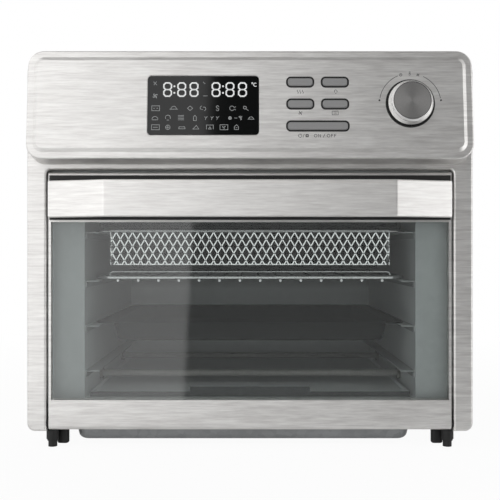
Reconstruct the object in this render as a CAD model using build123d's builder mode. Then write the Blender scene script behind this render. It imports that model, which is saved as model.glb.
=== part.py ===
"""Countertop toaster oven: steel casing, leaning control panel, glass door, basket, rack and trays."""
from build123d import *
import os
from math import atan2, cos, degrees, hypot, radians, sin, tan

os.makedirs("parts", exist_ok=True)

# All sizes are millimetres. X runs to the right, Y to the back and Z up, with the table at Z = 0.

# Casing
casing_width = 398.0
casing_depth = 345.0
casing_bottom = 15.2
casing_top = 349.0
casing_sheet = 0.8
casing_radius = 14.0
seam = 0.2
bezel_sheet = 1.0
bezel_depth = 14.0
bezel_edge_radius = 2.0
bezel_foot_radius = 7.0
base_sheet = 1.0
base_flange = 10.0
base_tongue = 3.0
pan_centre_x = -6.4
pan_side_space = 47.5
pan_end_space = 32.5
pan_depth = 10.0
pan_slope = 12.0
pan_corner = 12.0
pan_floor_radius = 6.0
panel_flange = 8.0
vent_length = 26.0
vent_width = 3.2
vent_pitch = 8.0
vent_row_pitch = 34.0
side_vents = 12
back_vents = 14
base_vents = 7

# Feet and the black blocks behind the front pair
foot_inset = 20.8
foot_setback = 10.0
foot_pad_radius = 4.0
foot_pad_height = 5.2
foot_waist_radius = 4.7
foot_shoulder_radius = 5.1
foot_flange_radius = 5.6
foot_flange_height = 8.4
cover_width = 10.4
cover_length = 8.0
cover_height = 14.4
cover_gap = 0.5
cover_offset = 7.4
cover_radius = 3.0

# Screws and cord gland in the back panel
screw_head_radius = 3.6
screw_head_height = 1.6
screw_shank_radius = 1.6
screw_length = 6.0
screw_clearance = 0.1
screw_margin = 14.0
gland_radius = 7.0
gland_flange_radius = 10.0
gland_bore_radius = 3.8
gland_length = 12.0
gland_inset = 49.0
gland_height = 26.0

# Door
stile_width = 17.5
door_top_space = 103.0
door_lift = 1.3
door_side_gap = 2.0
door_top_gap = 2.7
door_proud = 1.0
door_thickness = 12.0
opening_radius = 4.0
rail_sheet = 1.2
rail_edge_radius = 4.0
bottom_rail_height = 26.8
top_rail_height = 44.0
channel_sheet = 1.0
channel_cover = 2.2
glass_thickness = 4.0
glass_clearance = 0.3
glass_bite = 11.0

# Door handle and its back plate
handle_projection = 30.0
handle_end_inset = 2.5
handle_end_run = 51.0
handle_sweep = 16.0
handle_height = 32.0
handle_depth = 10.0
handle_sheet = 1.5
handle_drop = 24.3
handle_bend_radius = 6.0
handle_edge_radius = 1.4
facing = 0.5
backplate_thickness = 1.5
backplate_bottom_reveal = 1.8
backplate_top_reveal = 2.6
backplate_side_reveal = 1.0
post_inset = 19.0
post_width = 20.0
post_height = 22.0
post_clearance = 0.3

# Door hinge
hinge_height = 5.8
hinge_pin_radius = 3.0
hinge_clearance = 0.06
hinge_block_length = 14.0
hinge_block_height = 12.0
hinge_block_fit = 0.3
hinge_pin_reach = 6.5
bush_wall = 0.9
bush_flange_radius = 5.2
bush_flange_thickness = 1.2
bush_fit = 0.05

# Control fascia
fascia_side_inset = 3.9
fascia_height = 96.4
fascia_drop = 44.65
fascia_projection = 15.0
fascia_tilt = 6.0
fascia_draft = 3.0
fascia_corner = 13.5
fascia_edge_radius = 1.5
fascia_sheet = 1.2
field_side_margin = 5.7
field_end_margin = 5.8
field_rise = 1.75
field_slope = 3.25
field_corner = 8.5
bezel_window_margin = 45.1
bezel_window_height = 56.0

# Display, buttons and knob on the raised field
display_x = -40.8
display_v = -1.2
display_width = 97.4
display_height = 52.6
display_corner = 3.3
display_recess = 0.5
display_bevel = 0.7
display_fit = 0.2
module_margin = 2.5
module_fit = 0.3
button_left_x = 43.9
button_right_x = 74.2
button_top_v = 19.4
button_pitch = 19.6
button_width = 24.7
button_height = 10.0
start_button_width = 55.4
button_corner = 4.2
surround_width = 1.3
surround_rise = 0.25
button_gap = 0.3
button_rise = 0.9
button_flange = 1.1
button_flange_thickness = 1.0
surround_fit = 0.1
button_travel = 1.0
button_edge_radius = 0.6
knob_inset = 55.3
knob_v = 0.3
knob_bezel_radius = 21.55
knob_bezel_wall = 1.4
knob_bezel_rise = 0.35
knob_floor = 1.2
knob_gap = 0.4
knob_skirt_radius = 19.7
knob_face_radius = 15.85
knob_lip = 0.9
knob_rim = 1.6
knob_hollow = 1.0
knob_cap_fit = 0.1
knob_height = 10.5
knob_cap_thickness = 1.0
shaft_radius = 3.0
shaft_clearance = 0.05

# Boards behind the fascia
backing_thickness = 2.5
backing_margin = 2.5
board_depth = 9.0
board_thickness = 1.6
board_height = 60.0
board_post_radius = 4.0
switch_size = 6.0
encoder_size = 13.0
encoder_height = 5.0
power_board_length = 110.0
power_board_height = 66.0
power_board_setback = 100.0
power_board_drop = 49.0
power_board_standoff = 8.0
standoff_radius = 3.5
relay_size = 15.0
relay_pitch = 22.0

# Cooking space
cavity_side_space = 49.0
cavity_rear_space = 30.0
cavity_floor_z = 42.0
cavity_top_drop = 24.0
cavity_sheet = 1.0
face_plate_margin = 9.3
first_rail_rise = 25.0
last_rail_drop = 32.0
rail_count = 4
top_rail_lift = 3.4
rail_width = 12.0
rail_leg = 5.0
rail_sheet_thickness = 1.0
rail_end_gap = 4.0
rest_gap = 0.3

# Heaters and their insulators
heater_radius = 3.5
heater_spread = 140.0
heater_overhang = 16.0
upper_heater_drop = 19.0
lower_heater_rise = 12.0
heater_fit = 0.2
insulator_barrel_radius = 5.0
insulator_collar_radius = 5.8
insulator_collar = 3.0
insulator_tail = 9.0

# Fan
fan_opening_radius = 72.0
fan_housing_radius = 80.0
fan_housing_height = 25.0
fan_cover_radius = 78.0
fan_cover_sheet = 1.0
fan_cover_slots = 20
fan_cover_slot_length = 17.2
fan_cover_rings = (31.2, 54.6)
fan_radius = 60.0
fan_vane_length = 26.0
fan_vane_height = 12.0
fan_vanes = 9
fan_vane_angle = 30.0
fan_sheet = 1.0
fan_lift = 17.0
fan_hub_radius = 7.0
fan_shaft_radius = 3.0
motor_radius = 28.0
motor_height = 27.0
motor_lift = 6.0
motor_boss_radius = 4.0
motor_boss_circle = 22.0
motor_bosses = 3

# Lamp and temperature probe on the right wall
lamp_setback = 235.0
lamp_gap = 2.35
lamp_lens_depth = 7.0
lamp_lens_wall = 1.6
lamp_socket_radius = 11.0
lamp_socket_length = 30.0
lamp_bulb_radius = 4.5
probe_setback = 270.0
probe_radius = 2.0
probe_length = 34.0
probe_collar_radius = 5.0
probe_fit = 0.1

# Basket, rack and trays
accessory_side_gap = 4.0
accessory_front_gap = 21.0
accessory_rear_gap = 17.0
basket_side_ledge = 15.5
basket_floor_gap = 14.7
basket_rim_sheet = 1.2
basket_rim_bead = 0.8
basket_rim_ledge = 5.0
basket_corner = 10.0
mesh_sheet = 1.0
mesh_pitch = 7.6
mesh_step = 13.0
mesh_wire = 1.0
mesh_border = 1.4
coarse_mesh_scale = 3.0
rack_bar_radius = 2.0
rack_wire_radius = 1.25
rack_wire_count = 14
rack_wire_margin = 22.5
rack_wire_sink = 0.5
rack_corner = 14.0
tray_sheet = 0.9
tray_side_ledge = 15.0
tray_end_ledge = 7.0
tray_depth = 18.0
tray_corner = 18.0
tray_slope = 12.0
tray_floor_radius = 4.0
crumb_sheet = 0.8
crumb_depth = 4.6
crumb_side_gap = 3.0
crumb_front_setback = 24.0
crumb_rear_gap = 4.0
crumb_lip_height = 9.0
crumb_lip_width = 110.0

# Places that follow from the sizes above
overall_depth = handle_projection + casing_depth
front_y = handle_projection - overall_depth / 2
back_y = front_y + casing_depth
panel_y = back_y - screw_head_height
bezel_back_y = front_y + bezel_depth
casing_mid_z = (casing_bottom + casing_top) / 2
wrap_half = casing_width / 2 - casing_sheet
wrap_top = casing_top - casing_sheet
wrap_inner_half = wrap_half - casing_sheet
wrap_inner_top = wrap_top - casing_sheet
base_top = casing_bottom + base_sheet
tongue_front_y = bezel_back_y - base_tongue
pan_width = casing_width - 2 * pan_side_space
pan_length = casing_depth - 2 * pan_end_space
foot_x = casing_width / 2 - foot_inset
gland_x = gland_inset - casing_width / 2

opening_half = casing_width / 2 - stile_width
door_half = opening_half - door_side_gap
door_width = 2 * door_half
door_bottom = casing_bottom + door_lift
door_top = casing_top - door_top_space
door_front_y = front_y - door_proud
door_back_y = door_front_y + door_thickness
opening_top = door_top + door_top_gap
bottom_rail_top = door_bottom + bottom_rail_height
top_rail_bottom = door_top - top_rail_height
glass_front_y = door_front_y + rail_sheet + glass_clearance
glass_back_y = glass_front_y + glass_thickness
hinge_y = (door_front_y + door_back_y) / 2
hinge_z = door_bottom + hinge_height
backplate_front_y = door_front_y - backplate_thickness
handle_front_y = front_y - handle_projection
handle_z = door_top - handle_drop
handle_width = door_width - 2 * handle_end_inset
handle_flat = handle_width - 2 * handle_end_run
post_x = handle_width / 2 - post_inset

cavity_width = casing_width - 2 * cavity_side_space
cavity_depth = casing_depth - bezel_depth - cavity_sheet - cavity_rear_space
cavity_half = cavity_width / 2
cavity_front_y = bezel_back_y + cavity_sheet
cavity_back_y = cavity_front_y + cavity_depth
cavity_mid_y = (cavity_front_y + cavity_back_y) / 2
cavity_top_z = door_top - cavity_top_drop
cavity_height = cavity_top_z - cavity_floor_z
face_plate_top = opening_top + face_plate_margin
upper_heater_z = cavity_top_z - upper_heater_drop
lower_heater_z = cavity_floor_z + lower_heater_rise
first_rail_z = cavity_floor_z + first_rail_rise
rail_pitch = (cavity_height - first_rail_rise - last_rail_drop) / (rail_count - 1)
tray_level = first_rail_z + rail_pitch + rest_gap
rack_level = first_rail_z + 2 * rail_pitch + rest_gap
top_rail_z = first_rail_z + 3 * rail_pitch + top_rail_lift
basket_level = top_rail_z + rest_gap
accessory_width = cavity_width - 2 * accessory_side_gap
accessory_length = cavity_depth - accessory_front_gap - accessory_rear_gap
accessory_mid_y = cavity_front_y + accessory_front_gap + accessory_length / 2
basket_width = accessory_width - 2 * basket_side_ledge
basket_drop = rail_pitch + top_rail_lift - basket_floor_gap
tray_pan_width = accessory_width - 2 * tray_side_ledge
tray_pan_length = accessory_length - 2 * tray_end_ledge
rack_wire_pitch = (accessory_width - 2 * rack_wire_margin) / (rack_wire_count - 1)
lamp_low_z = rack_level + 2 * rack_bar_radius
lamp_high_z = top_rail_z - top_rail_lift - rail_sheet_thickness - rail_leg
lamp_z = (lamp_low_z + lamp_high_z) / 2
lamp_lens_radius = (lamp_high_z - lamp_low_z) / 2 - lamp_gap

tilt = radians(fascia_tilt)
fascia_width = casing_width - 2 * fascia_side_inset
fascia_centre_z = casing_top - fascia_drop
bezel_window_width = fascia_width - 2 * bezel_window_margin
board_width = bezel_window_width
knob_x = fascia_width / 2 - knob_inset
power_board_z = casing_top - power_board_drop
fascia_normal = (0, -cos(tilt), sin(tilt))
fascia_origin = (0, front_y - fascia_projection, fascia_centre_z)
fascia_plane = Plane(fascia_origin, x_dir=(1, 0, 0), z_dir=fascia_normal)
field_plane = fascia_plane.offset(field_rise)
backing_front = -fascia_sheet
backing_back = backing_front - backing_thickness
board_front = -board_depth
button_back = backing_back - button_gap
flange_back = button_back - button_flange_thickness
switch_height = flange_back - button_travel - button_gap - board_front
small_buttons = {
    "preheat_button": (button_left_x, button_top_v),
    "light_button": (button_right_x, button_top_v),
    "air_fry_button": (button_left_x, button_top_v - button_pitch),
    "bake_button": (button_right_x, button_top_v - button_pitch),
}
start_place = ((button_left_x + button_right_x) / 2, button_top_v - 2 * button_pitch)
button_places = {name: (place, button_width) for name, place in small_buttons.items()}
button_places["start_button"] = (start_place, start_button_width)


def front_plane(y):
    """A plane facing the front at depth y, drawn in X and Z."""
    return Plane.XZ.offset(-y)


def side_plane(x):
    """A plane facing the right at x, drawn in Y and Z."""
    return Plane.YZ.offset(x)


def level_plane(z):
    """A level plane at height z, drawn in X and Y."""
    return Plane.XY.offset(z)


def save(piece, name):
    """Label a finished piece and write its file."""
    piece.part.label = name
    export_step(piece.part, f"parts/{name}.step")


# Outer wrap: one sheet folded over both sides and the top, with vent slots high at the rear
with BuildPart() as outer_wrap:
    with BuildSketch(front_plane(panel_y)):
        with BuildLine():
            FilletPolyline(
                (-wrap_half, casing_bottom + seam),
                (-wrap_half, wrap_top),
                (wrap_half, wrap_top),
                (wrap_half, casing_bottom + seam),
                radius=casing_radius,
            )
            offset(amount=casing_sheet, side=Side.RIGHT)
        make_face()
    extrude(amount=panel_y - bezel_back_y)
    with BuildSketch(side_plane(-casing_width / 2)):
        with Locations((panel_y - side_vents * vent_pitch, casing_top - 2 * vent_row_pitch)):
            with GridLocations(vent_pitch, vent_row_pitch, side_vents, 2):
                SlotOverall(vent_length, vent_width, rotation=90)
    extrude(amount=casing_width, mode=Mode.SUBTRACT)
save(outer_wrap, "outer_wrap")

# Back panel: a shallow pan that slips inside the wrap, with vents, screw holes and the gland hole
panel_half = wrap_inner_half - seam
panel_bottom = base_top + seam
panel_top = wrap_inner_top - seam
screw_x = panel_half - screw_margin
screw_places = [
    (x, z)
    for x in (-screw_x, 0, screw_x)
    for z in (panel_bottom + screw_margin, panel_top - screw_margin)
] + [(x, casing_mid_z) for x in (-screw_x, screw_x)]
gland_z = casing_bottom + gland_height
with BuildPart() as back_panel:
    with BuildSketch(front_plane(panel_y)) as panel_outline:
        with Locations((0, (panel_bottom + panel_top) / 2)):
            Rectangle(2 * panel_half, panel_top - panel_bottom)
        fillet(panel_outline.vertices().group_by(Axis.Y)[-1], casing_radius - casing_sheet - seam)
    extrude(amount=panel_flange)
    offset(amount=-casing_sheet, openings=back_panel.faces().sort_by(Axis.Y)[0])
    with BuildSketch(front_plane(panel_y)):
        with Locations((0, casing_top - 2 * vent_row_pitch)):
            with GridLocations(2 * vent_pitch, vent_row_pitch, back_vents, 2):
                SlotOverall(vent_length, vent_width, rotation=90)
        with Locations(*screw_places):
            Circle(screw_shank_radius + screw_clearance)
        with Locations((gland_x, gland_z)):
            Circle(gland_radius + screw_clearance)
    extrude(amount=casing_sheet, mode=Mode.SUBTRACT)
save(back_panel, "back_panel")

# Casing screws: domed heads on the back panel with plain shanks through it
with BuildPart() as casing_screws:
    with BuildSketch(front_plane(panel_y)):
        with Locations(*screw_places):
            Circle(screw_head_radius)
    extrude(amount=-screw_head_height)
    head_edges = casing_screws.faces().filter_by(Axis.Y).group_by(Axis.Y)[-1].edges()
    fillet(head_edges, screw_head_height / 2)
    with BuildSketch(front_plane(panel_y)):
        with Locations(*screw_places):
            Circle(screw_shank_radius)
    extrude(amount=screw_length)
save(casing_screws, "casing_screws")

# Cord gland: a flanged bush in the back panel
with BuildPart() as cord_gland:
    with BuildSketch(front_plane(panel_y)):
        with Locations((gland_x, gland_z)):
            Circle(gland_flange_radius)
    extrude(amount=-screw_head_height)
    with BuildSketch(front_plane(panel_y)):
        with Locations((gland_x, gland_z)):
            Circle(gland_radius)
    extrude(amount=gland_length)
    with BuildSketch(front_plane(panel_y - gland_length)):
        with Locations((gland_x, gland_z)):
            Circle(gland_bore_radius)
    extrude(amount=-gland_length - screw_head_height, mode=Mode.SUBTRACT)
save(cord_gland, "cord_gland")

# Base plate: flat sheet with upturned sides, a shallow pan pressed down under the cavity, and vents
base_length = panel_y - bezel_back_y
base_width = 2 * (wrap_inner_half - seam)
flange_front_y = cavity_front_y + seam
flange_back_y = panel_y - panel_flange - seam
pan_mid_y = tongue_front_y + pan_length / 2
pan_wall = base_sheet / cos(radians(pan_slope)) - base_sheet * tan(radians(pan_slope))
vent_column_x = (base_width / 2 + pan_width / 2 - pan_centre_x) / 2
with BuildPart() as pan_inside:
    with BuildSketch(level_plane(base_top)):
        with Locations((pan_centre_x, pan_mid_y)):
            RectangleRounded(pan_width - 2 * pan_wall, pan_length - 2 * pan_wall, pan_corner - pan_wall)
    extrude(amount=-pan_depth, taper=pan_slope)
    fillet(pan_inside.faces().sort_by(Axis.Z)[0].edges(), pan_floor_radius - base_sheet)
with BuildPart() as base_plate:
    with BuildSketch(level_plane(casing_bottom)):
        with Locations((0, bezel_back_y)):
            Rectangle(base_width, base_length, align=(Align.CENTER, Align.MIN))
        with Locations((0, tongue_front_y)):
            Rectangle(2 * (opening_half - door_side_gap), base_length, align=(Align.CENTER, Align.MIN))
    extrude(amount=base_sheet)
    with BuildSketch(level_plane(casing_bottom)):
        with Locations((pan_centre_x, pan_mid_y)):
            RectangleRounded(pan_width, pan_length, pan_corner)
    extrude(amount=-pan_depth, taper=pan_slope)
    fillet(base_plate.faces().sort_by(Axis.Z)[0].edges(), pan_floor_radius)
    add(pan_inside.part, mode=Mode.SUBTRACT)
    with BuildSketch(level_plane(base_top)):
        with Locations((0, (flange_front_y + flange_back_y) / 2)):
            with GridLocations(base_width - base_sheet, 0, 2, 1):
                Rectangle(base_sheet, flange_back_y - flange_front_y)
    extrude(amount=base_flange)
    with BuildSketch(level_plane(casing_bottom)):
        with Locations((0, (bezel_back_y + panel_y) / 2)):
            with GridLocations(2 * vent_column_x, vent_length, 2, base_vents):
                SlotOverall(vent_length - vent_pitch, vent_width, rotation=90)
    extrude(amount=base_sheet, mode=Mode.SUBTRACT)
save(base_plate, "base_plate")

# Front bezel: a folded sheet with two stiles, open below for the door, and a window behind the fascia
with BuildPart() as front_bezel:
    with BuildSketch(front_plane(bezel_back_y)) as bezel_outline:
        with Locations((0, casing_mid_z)):
            Rectangle(casing_width, casing_top - casing_bottom)
        fillet(bezel_outline.vertices().group_by(Axis.Y)[-1], casing_radius)
        fillet(bezel_outline.vertices().group_by(Axis.Y)[0], bezel_foot_radius)
        with Locations((0, casing_bottom)):
            Rectangle(2 * opening_half, opening_top - casing_bottom,
                      align=(Align.CENTER, Align.MIN), mode=Mode.SUBTRACT)
        opening_corners = bezel_outline.vertices().filter_by(lambda v: abs(v.Y - opening_top) < seam)
        fillet(opening_corners, opening_radius)
    extrude(amount=bezel_depth)
    fillet(front_bezel.faces().sort_by(Axis.Y)[0].edges(), bezel_edge_radius)
    offset(amount=-bezel_sheet, openings=front_bezel.faces().sort_by(Axis.Y)[-1])
    with BuildSketch(front_plane(bezel_back_y)):
        with Locations((0, fascia_centre_z)):
            RectangleRounded(bezel_window_width, bezel_window_height, opening_radius)
    extrude(amount=bezel_depth, mode=Mode.SUBTRACT)
    with BuildSketch(side_plane(-opening_half - 2 * bezel_sheet)):
        with Locations((hinge_y, hinge_z)):
            Circle(hinge_pin_radius + hinge_clearance + bush_wall + bush_fit)
    extrude(amount=2 * opening_half + 4 * bezel_sheet, mode=Mode.SUBTRACT)
save(front_bezel, "front_bezel")

# Face plate of the cooking space, seen through the glass beside the cavity
with BuildPart() as cavity_face:
    with BuildSketch(front_plane(cavity_front_y)):
        with Locations((0, base_top)):
            Rectangle(2 * (wrap_inner_half - seam), face_plate_top - base_top,
                      align=(Align.CENTER, Align.MIN))
        with Locations((0, cavity_floor_z)):
            Rectangle(cavity_width, cavity_height, align=(Align.CENTER, Align.MIN), mode=Mode.SUBTRACT)
    extrude(amount=cavity_sheet)
save(cavity_face, "cavity_face")

# Feet: turned rubber feet with a wide flange under the base and a narrow pad
foot_places = {
    "front_left_foot": (-foot_x, front_y + foot_setback),
    "front_right_foot": (foot_x, front_y + foot_setback),
    "rear_left_foot": (-foot_x, panel_y - foot_setback),
    "rear_right_foot": (foot_x, panel_y - foot_setback),
}
for foot_name, (place_x, place_y) in foot_places.items():
    with BuildPart() as foot:
        with BuildSketch(Plane((place_x, place_y, 0), x_dir=(1, 0, 0), z_dir=(0, -1, 0))):
            with BuildLine():
                Polyline(
                    (0, 0),
                    (foot_pad_radius, 0),
                    (foot_pad_radius, foot_pad_height),
                    (foot_waist_radius, foot_pad_height),
                    (foot_shoulder_radius, casing_bottom - foot_flange_height),
                    (foot_flange_radius, casing_bottom - foot_flange_height),
                    (foot_flange_radius, casing_bottom),
                    (0, casing_bottom),
                    close=True,
                )
            make_face()
        revolve(axis=Axis((place_x, place_y, 0), (0, 0, 1)))
    save(foot, foot_name)

# Hinge covers: black blocks under the base, behind the front feet and nearer the middle
cover_x = foot_x - cover_offset
cover_y = front_y + foot_setback + foot_flange_radius + cover_gap + cover_length / 2
with BuildPart() as hinge_covers:
    with BuildSketch(level_plane(casing_bottom)):
        with Locations((-cover_x, cover_y), (cover_x, cover_y)):
            RectangleRounded(cover_width, cover_length, cover_radius)
    extrude(amount=-cover_height)
    fillet(hinge_covers.faces().group_by(Axis.Z)[0].edges(), cover_radius / 2)
save(hinge_covers, "hinge_covers")

# Door bottom rail: a folded channel, open above, that grips the glass
with BuildPart() as door_bottom_rail:
    with BuildSketch(side_plane(-door_half)) as rail_outline:
        with Locations((hinge_y, door_bottom)):
            Rectangle(door_thickness, bottom_rail_height, align=(Align.CENTER, Align.MIN))
        fillet(rail_outline.vertices().group_by(Axis.Y)[0], rail_edge_radius)
    extrude(amount=door_width)
    rail_ends = door_bottom_rail.faces().filter_by(Axis.X)
    rail_mouth = door_bottom_rail.faces().sort_by(Axis.Z)[-1:]
    offset(amount=-rail_sheet, openings=rail_ends + rail_mouth)
save(door_bottom_rail, "door_bottom_rail")

# Door top rail: the same channel turned over, with the handle on its front
with BuildPart() as door_top_rail:
    with BuildSketch(side_plane(-door_half)) as rail_outline:
        with Locations((hinge_y, top_rail_bottom)):
            Rectangle(door_thickness, top_rail_height, align=(Align.CENTER, Align.MIN))
        fillet(rail_outline.vertices().group_by(Axis.Y)[-1], rail_edge_radius / 2)
    extrude(amount=door_width)
    rail_ends = door_top_rail.faces().filter_by(Axis.X)
    rail_mouth = door_top_rail.faces().sort_by(Axis.Z)[:1]
    offset(amount=-rail_sheet, openings=rail_ends + rail_mouth)
save(door_top_rail, "door_top_rail")

# Door side channels: slim folded trims over the two upright edges of the glass
with BuildPart() as door_side_channels:
    with BuildSketch(level_plane(bottom_rail_top)):
        with Locations((-door_half, door_front_y)):
            Rectangle(channel_cover, door_thickness - rail_edge_radius, align=(Align.MIN, Align.MIN))
        with Locations((-door_half + channel_sheet, glass_front_y - glass_clearance)):
            Rectangle(channel_cover, glass_thickness + 2 * glass_clearance,
                      align=(Align.MIN, Align.MIN), mode=Mode.SUBTRACT)
        mirror(about=Plane.YZ)
    extrude(amount=top_rail_bottom - bottom_rail_top)
save(door_side_channels, "door_side_channels")

# Door glass: one pane over the whole door, held in the rails and side channels
glass_half = door_half - channel_sheet - glass_clearance
with BuildPart() as door_glass:
    with BuildSketch(front_plane(glass_back_y)):
        with Locations((0, bottom_rail_top - glass_bite)):
            Rectangle(2 * glass_half, top_rail_bottom - bottom_rail_top + 2 * glass_bite,
                      align=(Align.CENTER, Align.MIN))
    extrude(amount=glass_thickness)
save(door_glass, "door_glass")

# Handle: a steel band bent back at both ends, with folded edges, hollow behind
handle_half = handle_width / 2
bend_half = handle_flat / 2
end_y = handle_front_y + handle_sweep
with BuildPart() as door_handle:
    with BuildSketch(level_plane(handle_z - handle_height / 2)) as handle_outline:
        with BuildLine():
            Polyline(
                (-handle_half, end_y + handle_depth),
                (-handle_half, end_y),
                (-bend_half, handle_front_y),
                (bend_half, handle_front_y),
                (handle_half, end_y),
                (handle_half, end_y + handle_depth),
                (bend_half, handle_front_y + handle_depth),
                (-bend_half, handle_front_y + handle_depth),
                close=True,
            )
        make_face()
        bends = handle_outline.vertices().filter_by(lambda v: abs(abs(v.X) - bend_half) < seam)
        fillet(bends, handle_bend_radius)
    extrude(amount=handle_height)
    front_skin = door_handle.faces().filter_by(lambda f: f.normal_at(f.center()).Y < -facing)
    long_edges = front_skin.edges().filter_by(lambda e: abs((e % 0).Z) < facing)
    fillet(long_edges, handle_edge_radius)
    handle_backs = door_handle.faces().filter_by(lambda f: f.normal_at(f.center()).Y > facing)
    offset(amount=-handle_sheet, openings=handle_backs)
save(door_handle, "door_handle")

# Handle back plate: black moulding on the top rail, with a post behind each end of the handle
post_front_y = end_y - handle_sweep * (handle_half - post_x) / (handle_half - bend_half)
post_slope = handle_sweep / (handle_half - bend_half)
post_skin = handle_sheet * hypot(1, post_slope) + post_clearance
with BuildPart() as handle_backplate:
    with BuildSketch(front_plane(door_front_y)):
        with Locations((0, top_rail_bottom + backplate_bottom_reveal)):
            Rectangle(
                door_width - 2 * backplate_side_reveal,
                top_rail_height - backplate_bottom_reveal - backplate_top_reveal,
                align=(Align.CENTER, Align.MIN),
            )
    extrude(amount=backplate_thickness)
    with BuildSketch(level_plane(handle_z - post_height / 2)):
        with BuildLine():
            Polyline(
                (post_x - post_width / 2, backplate_front_y),
                (post_x + post_width / 2, backplate_front_y),
                (post_x + post_width / 2, post_front_y + post_skin + post_slope * post_width / 2),
                (post_x - post_width / 2, post_front_y + post_skin - post_slope * post_width / 2),
                close=True,
            )
        make_face()
        mirror(about=Plane.YZ)
    extrude(amount=post_height)
save(handle_backplate, "handle_backplate")

# Hinge pins: moulded blocks in the ends of the bottom rail, each with a pin that turns in a bush
block_half_depth = door_thickness / 2 - rail_sheet - hinge_block_fit
block_bottom = door_bottom + rail_sheet + hinge_block_fit
with BuildPart() as hinge_pins:
    with BuildSketch(side_plane(door_half - hinge_block_length)) as block_outline:
        with Locations((hinge_y, block_bottom)):
            Rectangle(2 * block_half_depth, hinge_block_height, align=(Align.CENTER, Align.MIN))
        fillet(block_outline.vertices().group_by(Axis.Y)[0], rail_edge_radius - rail_sheet)
    extrude(amount=hinge_block_length)
    with BuildSketch(side_plane(door_half)):
        with Locations((hinge_y, hinge_z)):
            Circle(hinge_pin_radius)
    extrude(amount=hinge_pin_reach)
    mirror(about=Plane.YZ)
save(hinge_pins, "hinge_pins")

# Hinge bushes: flanged black bushes in the folded edges of the bezel
bush_bore_radius = hinge_pin_radius + hinge_clearance
with BuildPart() as hinge_bushes:
    with BuildSketch(side_plane(opening_half - bush_flange_thickness)):
        with Locations((hinge_y, hinge_z)):
            Circle(bush_flange_radius)
    extrude(amount=bush_flange_thickness)
    with BuildSketch(side_plane(opening_half)):
        with Locations((hinge_y, hinge_z)):
            Circle(bush_bore_radius + bush_wall)
    extrude(amount=hinge_pin_reach - door_side_gap)
    with BuildSketch(side_plane(opening_half - bush_flange_thickness)):
        with Locations((hinge_y, hinge_z)):
            Circle(bush_bore_radius)
    extrude(amount=hinge_pin_reach + bush_flange_thickness, mode=Mode.SUBTRACT)
    mirror(about=Plane.YZ)
save(hinge_bushes, "hinge_bushes")

# Control fascia: a pressed panel that leans back, with drafted walls and a raised field for the controls
field_width = fascia_width - 2 * field_side_margin
field_height = fascia_height - 2 * field_end_margin
fascia_axis = Axis(fascia_plane.origin, fascia_plane.z_dir)
fascia_reach = fascia_projection + fascia_height * tan(tilt)
knob_place = (knob_x, knob_v)
with BuildPart() as control_fascia:
    with BuildSketch(fascia_plane):
        RectangleRounded(fascia_width, fascia_height, fascia_corner)
    extrude(amount=-fascia_reach, taper=-fascia_draft)
    split(bisect_by=front_plane(front_y), keep=Keep.TOP)
    fillet(control_fascia.faces().sort_by(fascia_axis)[-1].edges(), fascia_edge_radius)
    with BuildSketch(fascia_plane):
        RectangleRounded(field_width, field_height, field_corner)
    extrude(amount=field_rise, taper=degrees(atan2(field_slope, field_rise)))
    offset(amount=-fascia_sheet, openings=control_fascia.faces().sort_by(Axis.Y)[-1])
    with BuildSketch(field_plane):
        with Locations((display_x, display_v)):
            RectangleRounded(display_width, display_height, display_corner)
        for place, width in button_places.values():
            with Locations(place):
                RectangleRounded(width, button_height, button_corner)
        with Locations(knob_place):
            Circle(knob_bezel_radius)
    extrude(amount=-field_rise - fascia_sheet, mode=Mode.SUBTRACT)
    field_face = control_fascia.faces().sort_by(fascia_axis)[-1]
    display_edges = max(field_face.inner_wires(), key=lambda wire: wire.length).edges()
    chamfer(display_edges, display_bevel)
save(control_fascia, "control_fascia")

# Fascia backing: black moulding inside the fascia, with posts for the control board
board_post_x = board_width / 2 - 2 * board_post_radius
board_post_v = board_height / 2 - 2 * board_post_radius
backing_inset = fascia_sheet + backing_margin
module_width = display_width - 2 * module_margin
module_height = display_height - 2 * module_margin
encoder_boss_radius = shaft_radius + shaft_clearance + knob_bezel_wall
with BuildPart() as fascia_backing:
    with BuildSketch(fascia_plane.offset(backing_back)):
        RectangleRounded(fascia_width - 2 * backing_inset, fascia_height - 2 * backing_inset,
                         fascia_corner - backing_inset)
        with Locations((display_x, display_v)):
            Rectangle(module_width + 2 * module_fit, module_height + 2 * module_fit, mode=Mode.SUBTRACT)
        for place, width in button_places.values():
            with Locations(place):
                RectangleRounded(width - 2 * surround_width, button_height - 2 * surround_width,
                                 button_corner - surround_width, mode=Mode.SUBTRACT)
        with Locations(knob_place):
            Circle(encoder_boss_radius + module_fit, mode=Mode.SUBTRACT)
    extrude(amount=backing_thickness)
    with BuildSketch(fascia_plane.offset(board_front)):
        with GridLocations(2 * board_post_x, 2 * board_post_v, 2, 2):
            Circle(board_post_radius)
    extrude(amount=backing_back - board_front)
save(fascia_backing, "fascia_backing")

# Display window: a black glossy pane let into the fascia
with BuildPart() as display_window:
    with BuildSketch(fascia_plane.offset(backing_front)):
        with Locations((display_x, display_v)):
            RectangleRounded(display_width - 2 * display_fit, display_height - 2 * display_fit,
                             display_corner - display_fit)
    extrude(amount=field_rise - display_recess - backing_front)
save(display_window, "display_window")

# Display module: the lit block between the window and the control board
with BuildPart() as display_module:
    with BuildSketch(fascia_plane.offset(board_front)):
        with Locations((display_x, display_v)):
            Rectangle(module_width, module_height)
    extrude(amount=backing_front - module_fit - board_front)
save(display_module, "display_module")

# Control board: a circuit board with one switch behind each button
with BuildPart() as control_board:
    with BuildSketch(fascia_plane.offset(board_front)):
        Rectangle(board_width, board_height)
    extrude(amount=-board_thickness)
    with BuildSketch(fascia_plane.offset(board_front)):
        with Locations(*[place for place, width in button_places.values()]):
            Rectangle(switch_size, switch_size)
    extrude(amount=switch_height)
save(control_board, "control_board")

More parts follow.
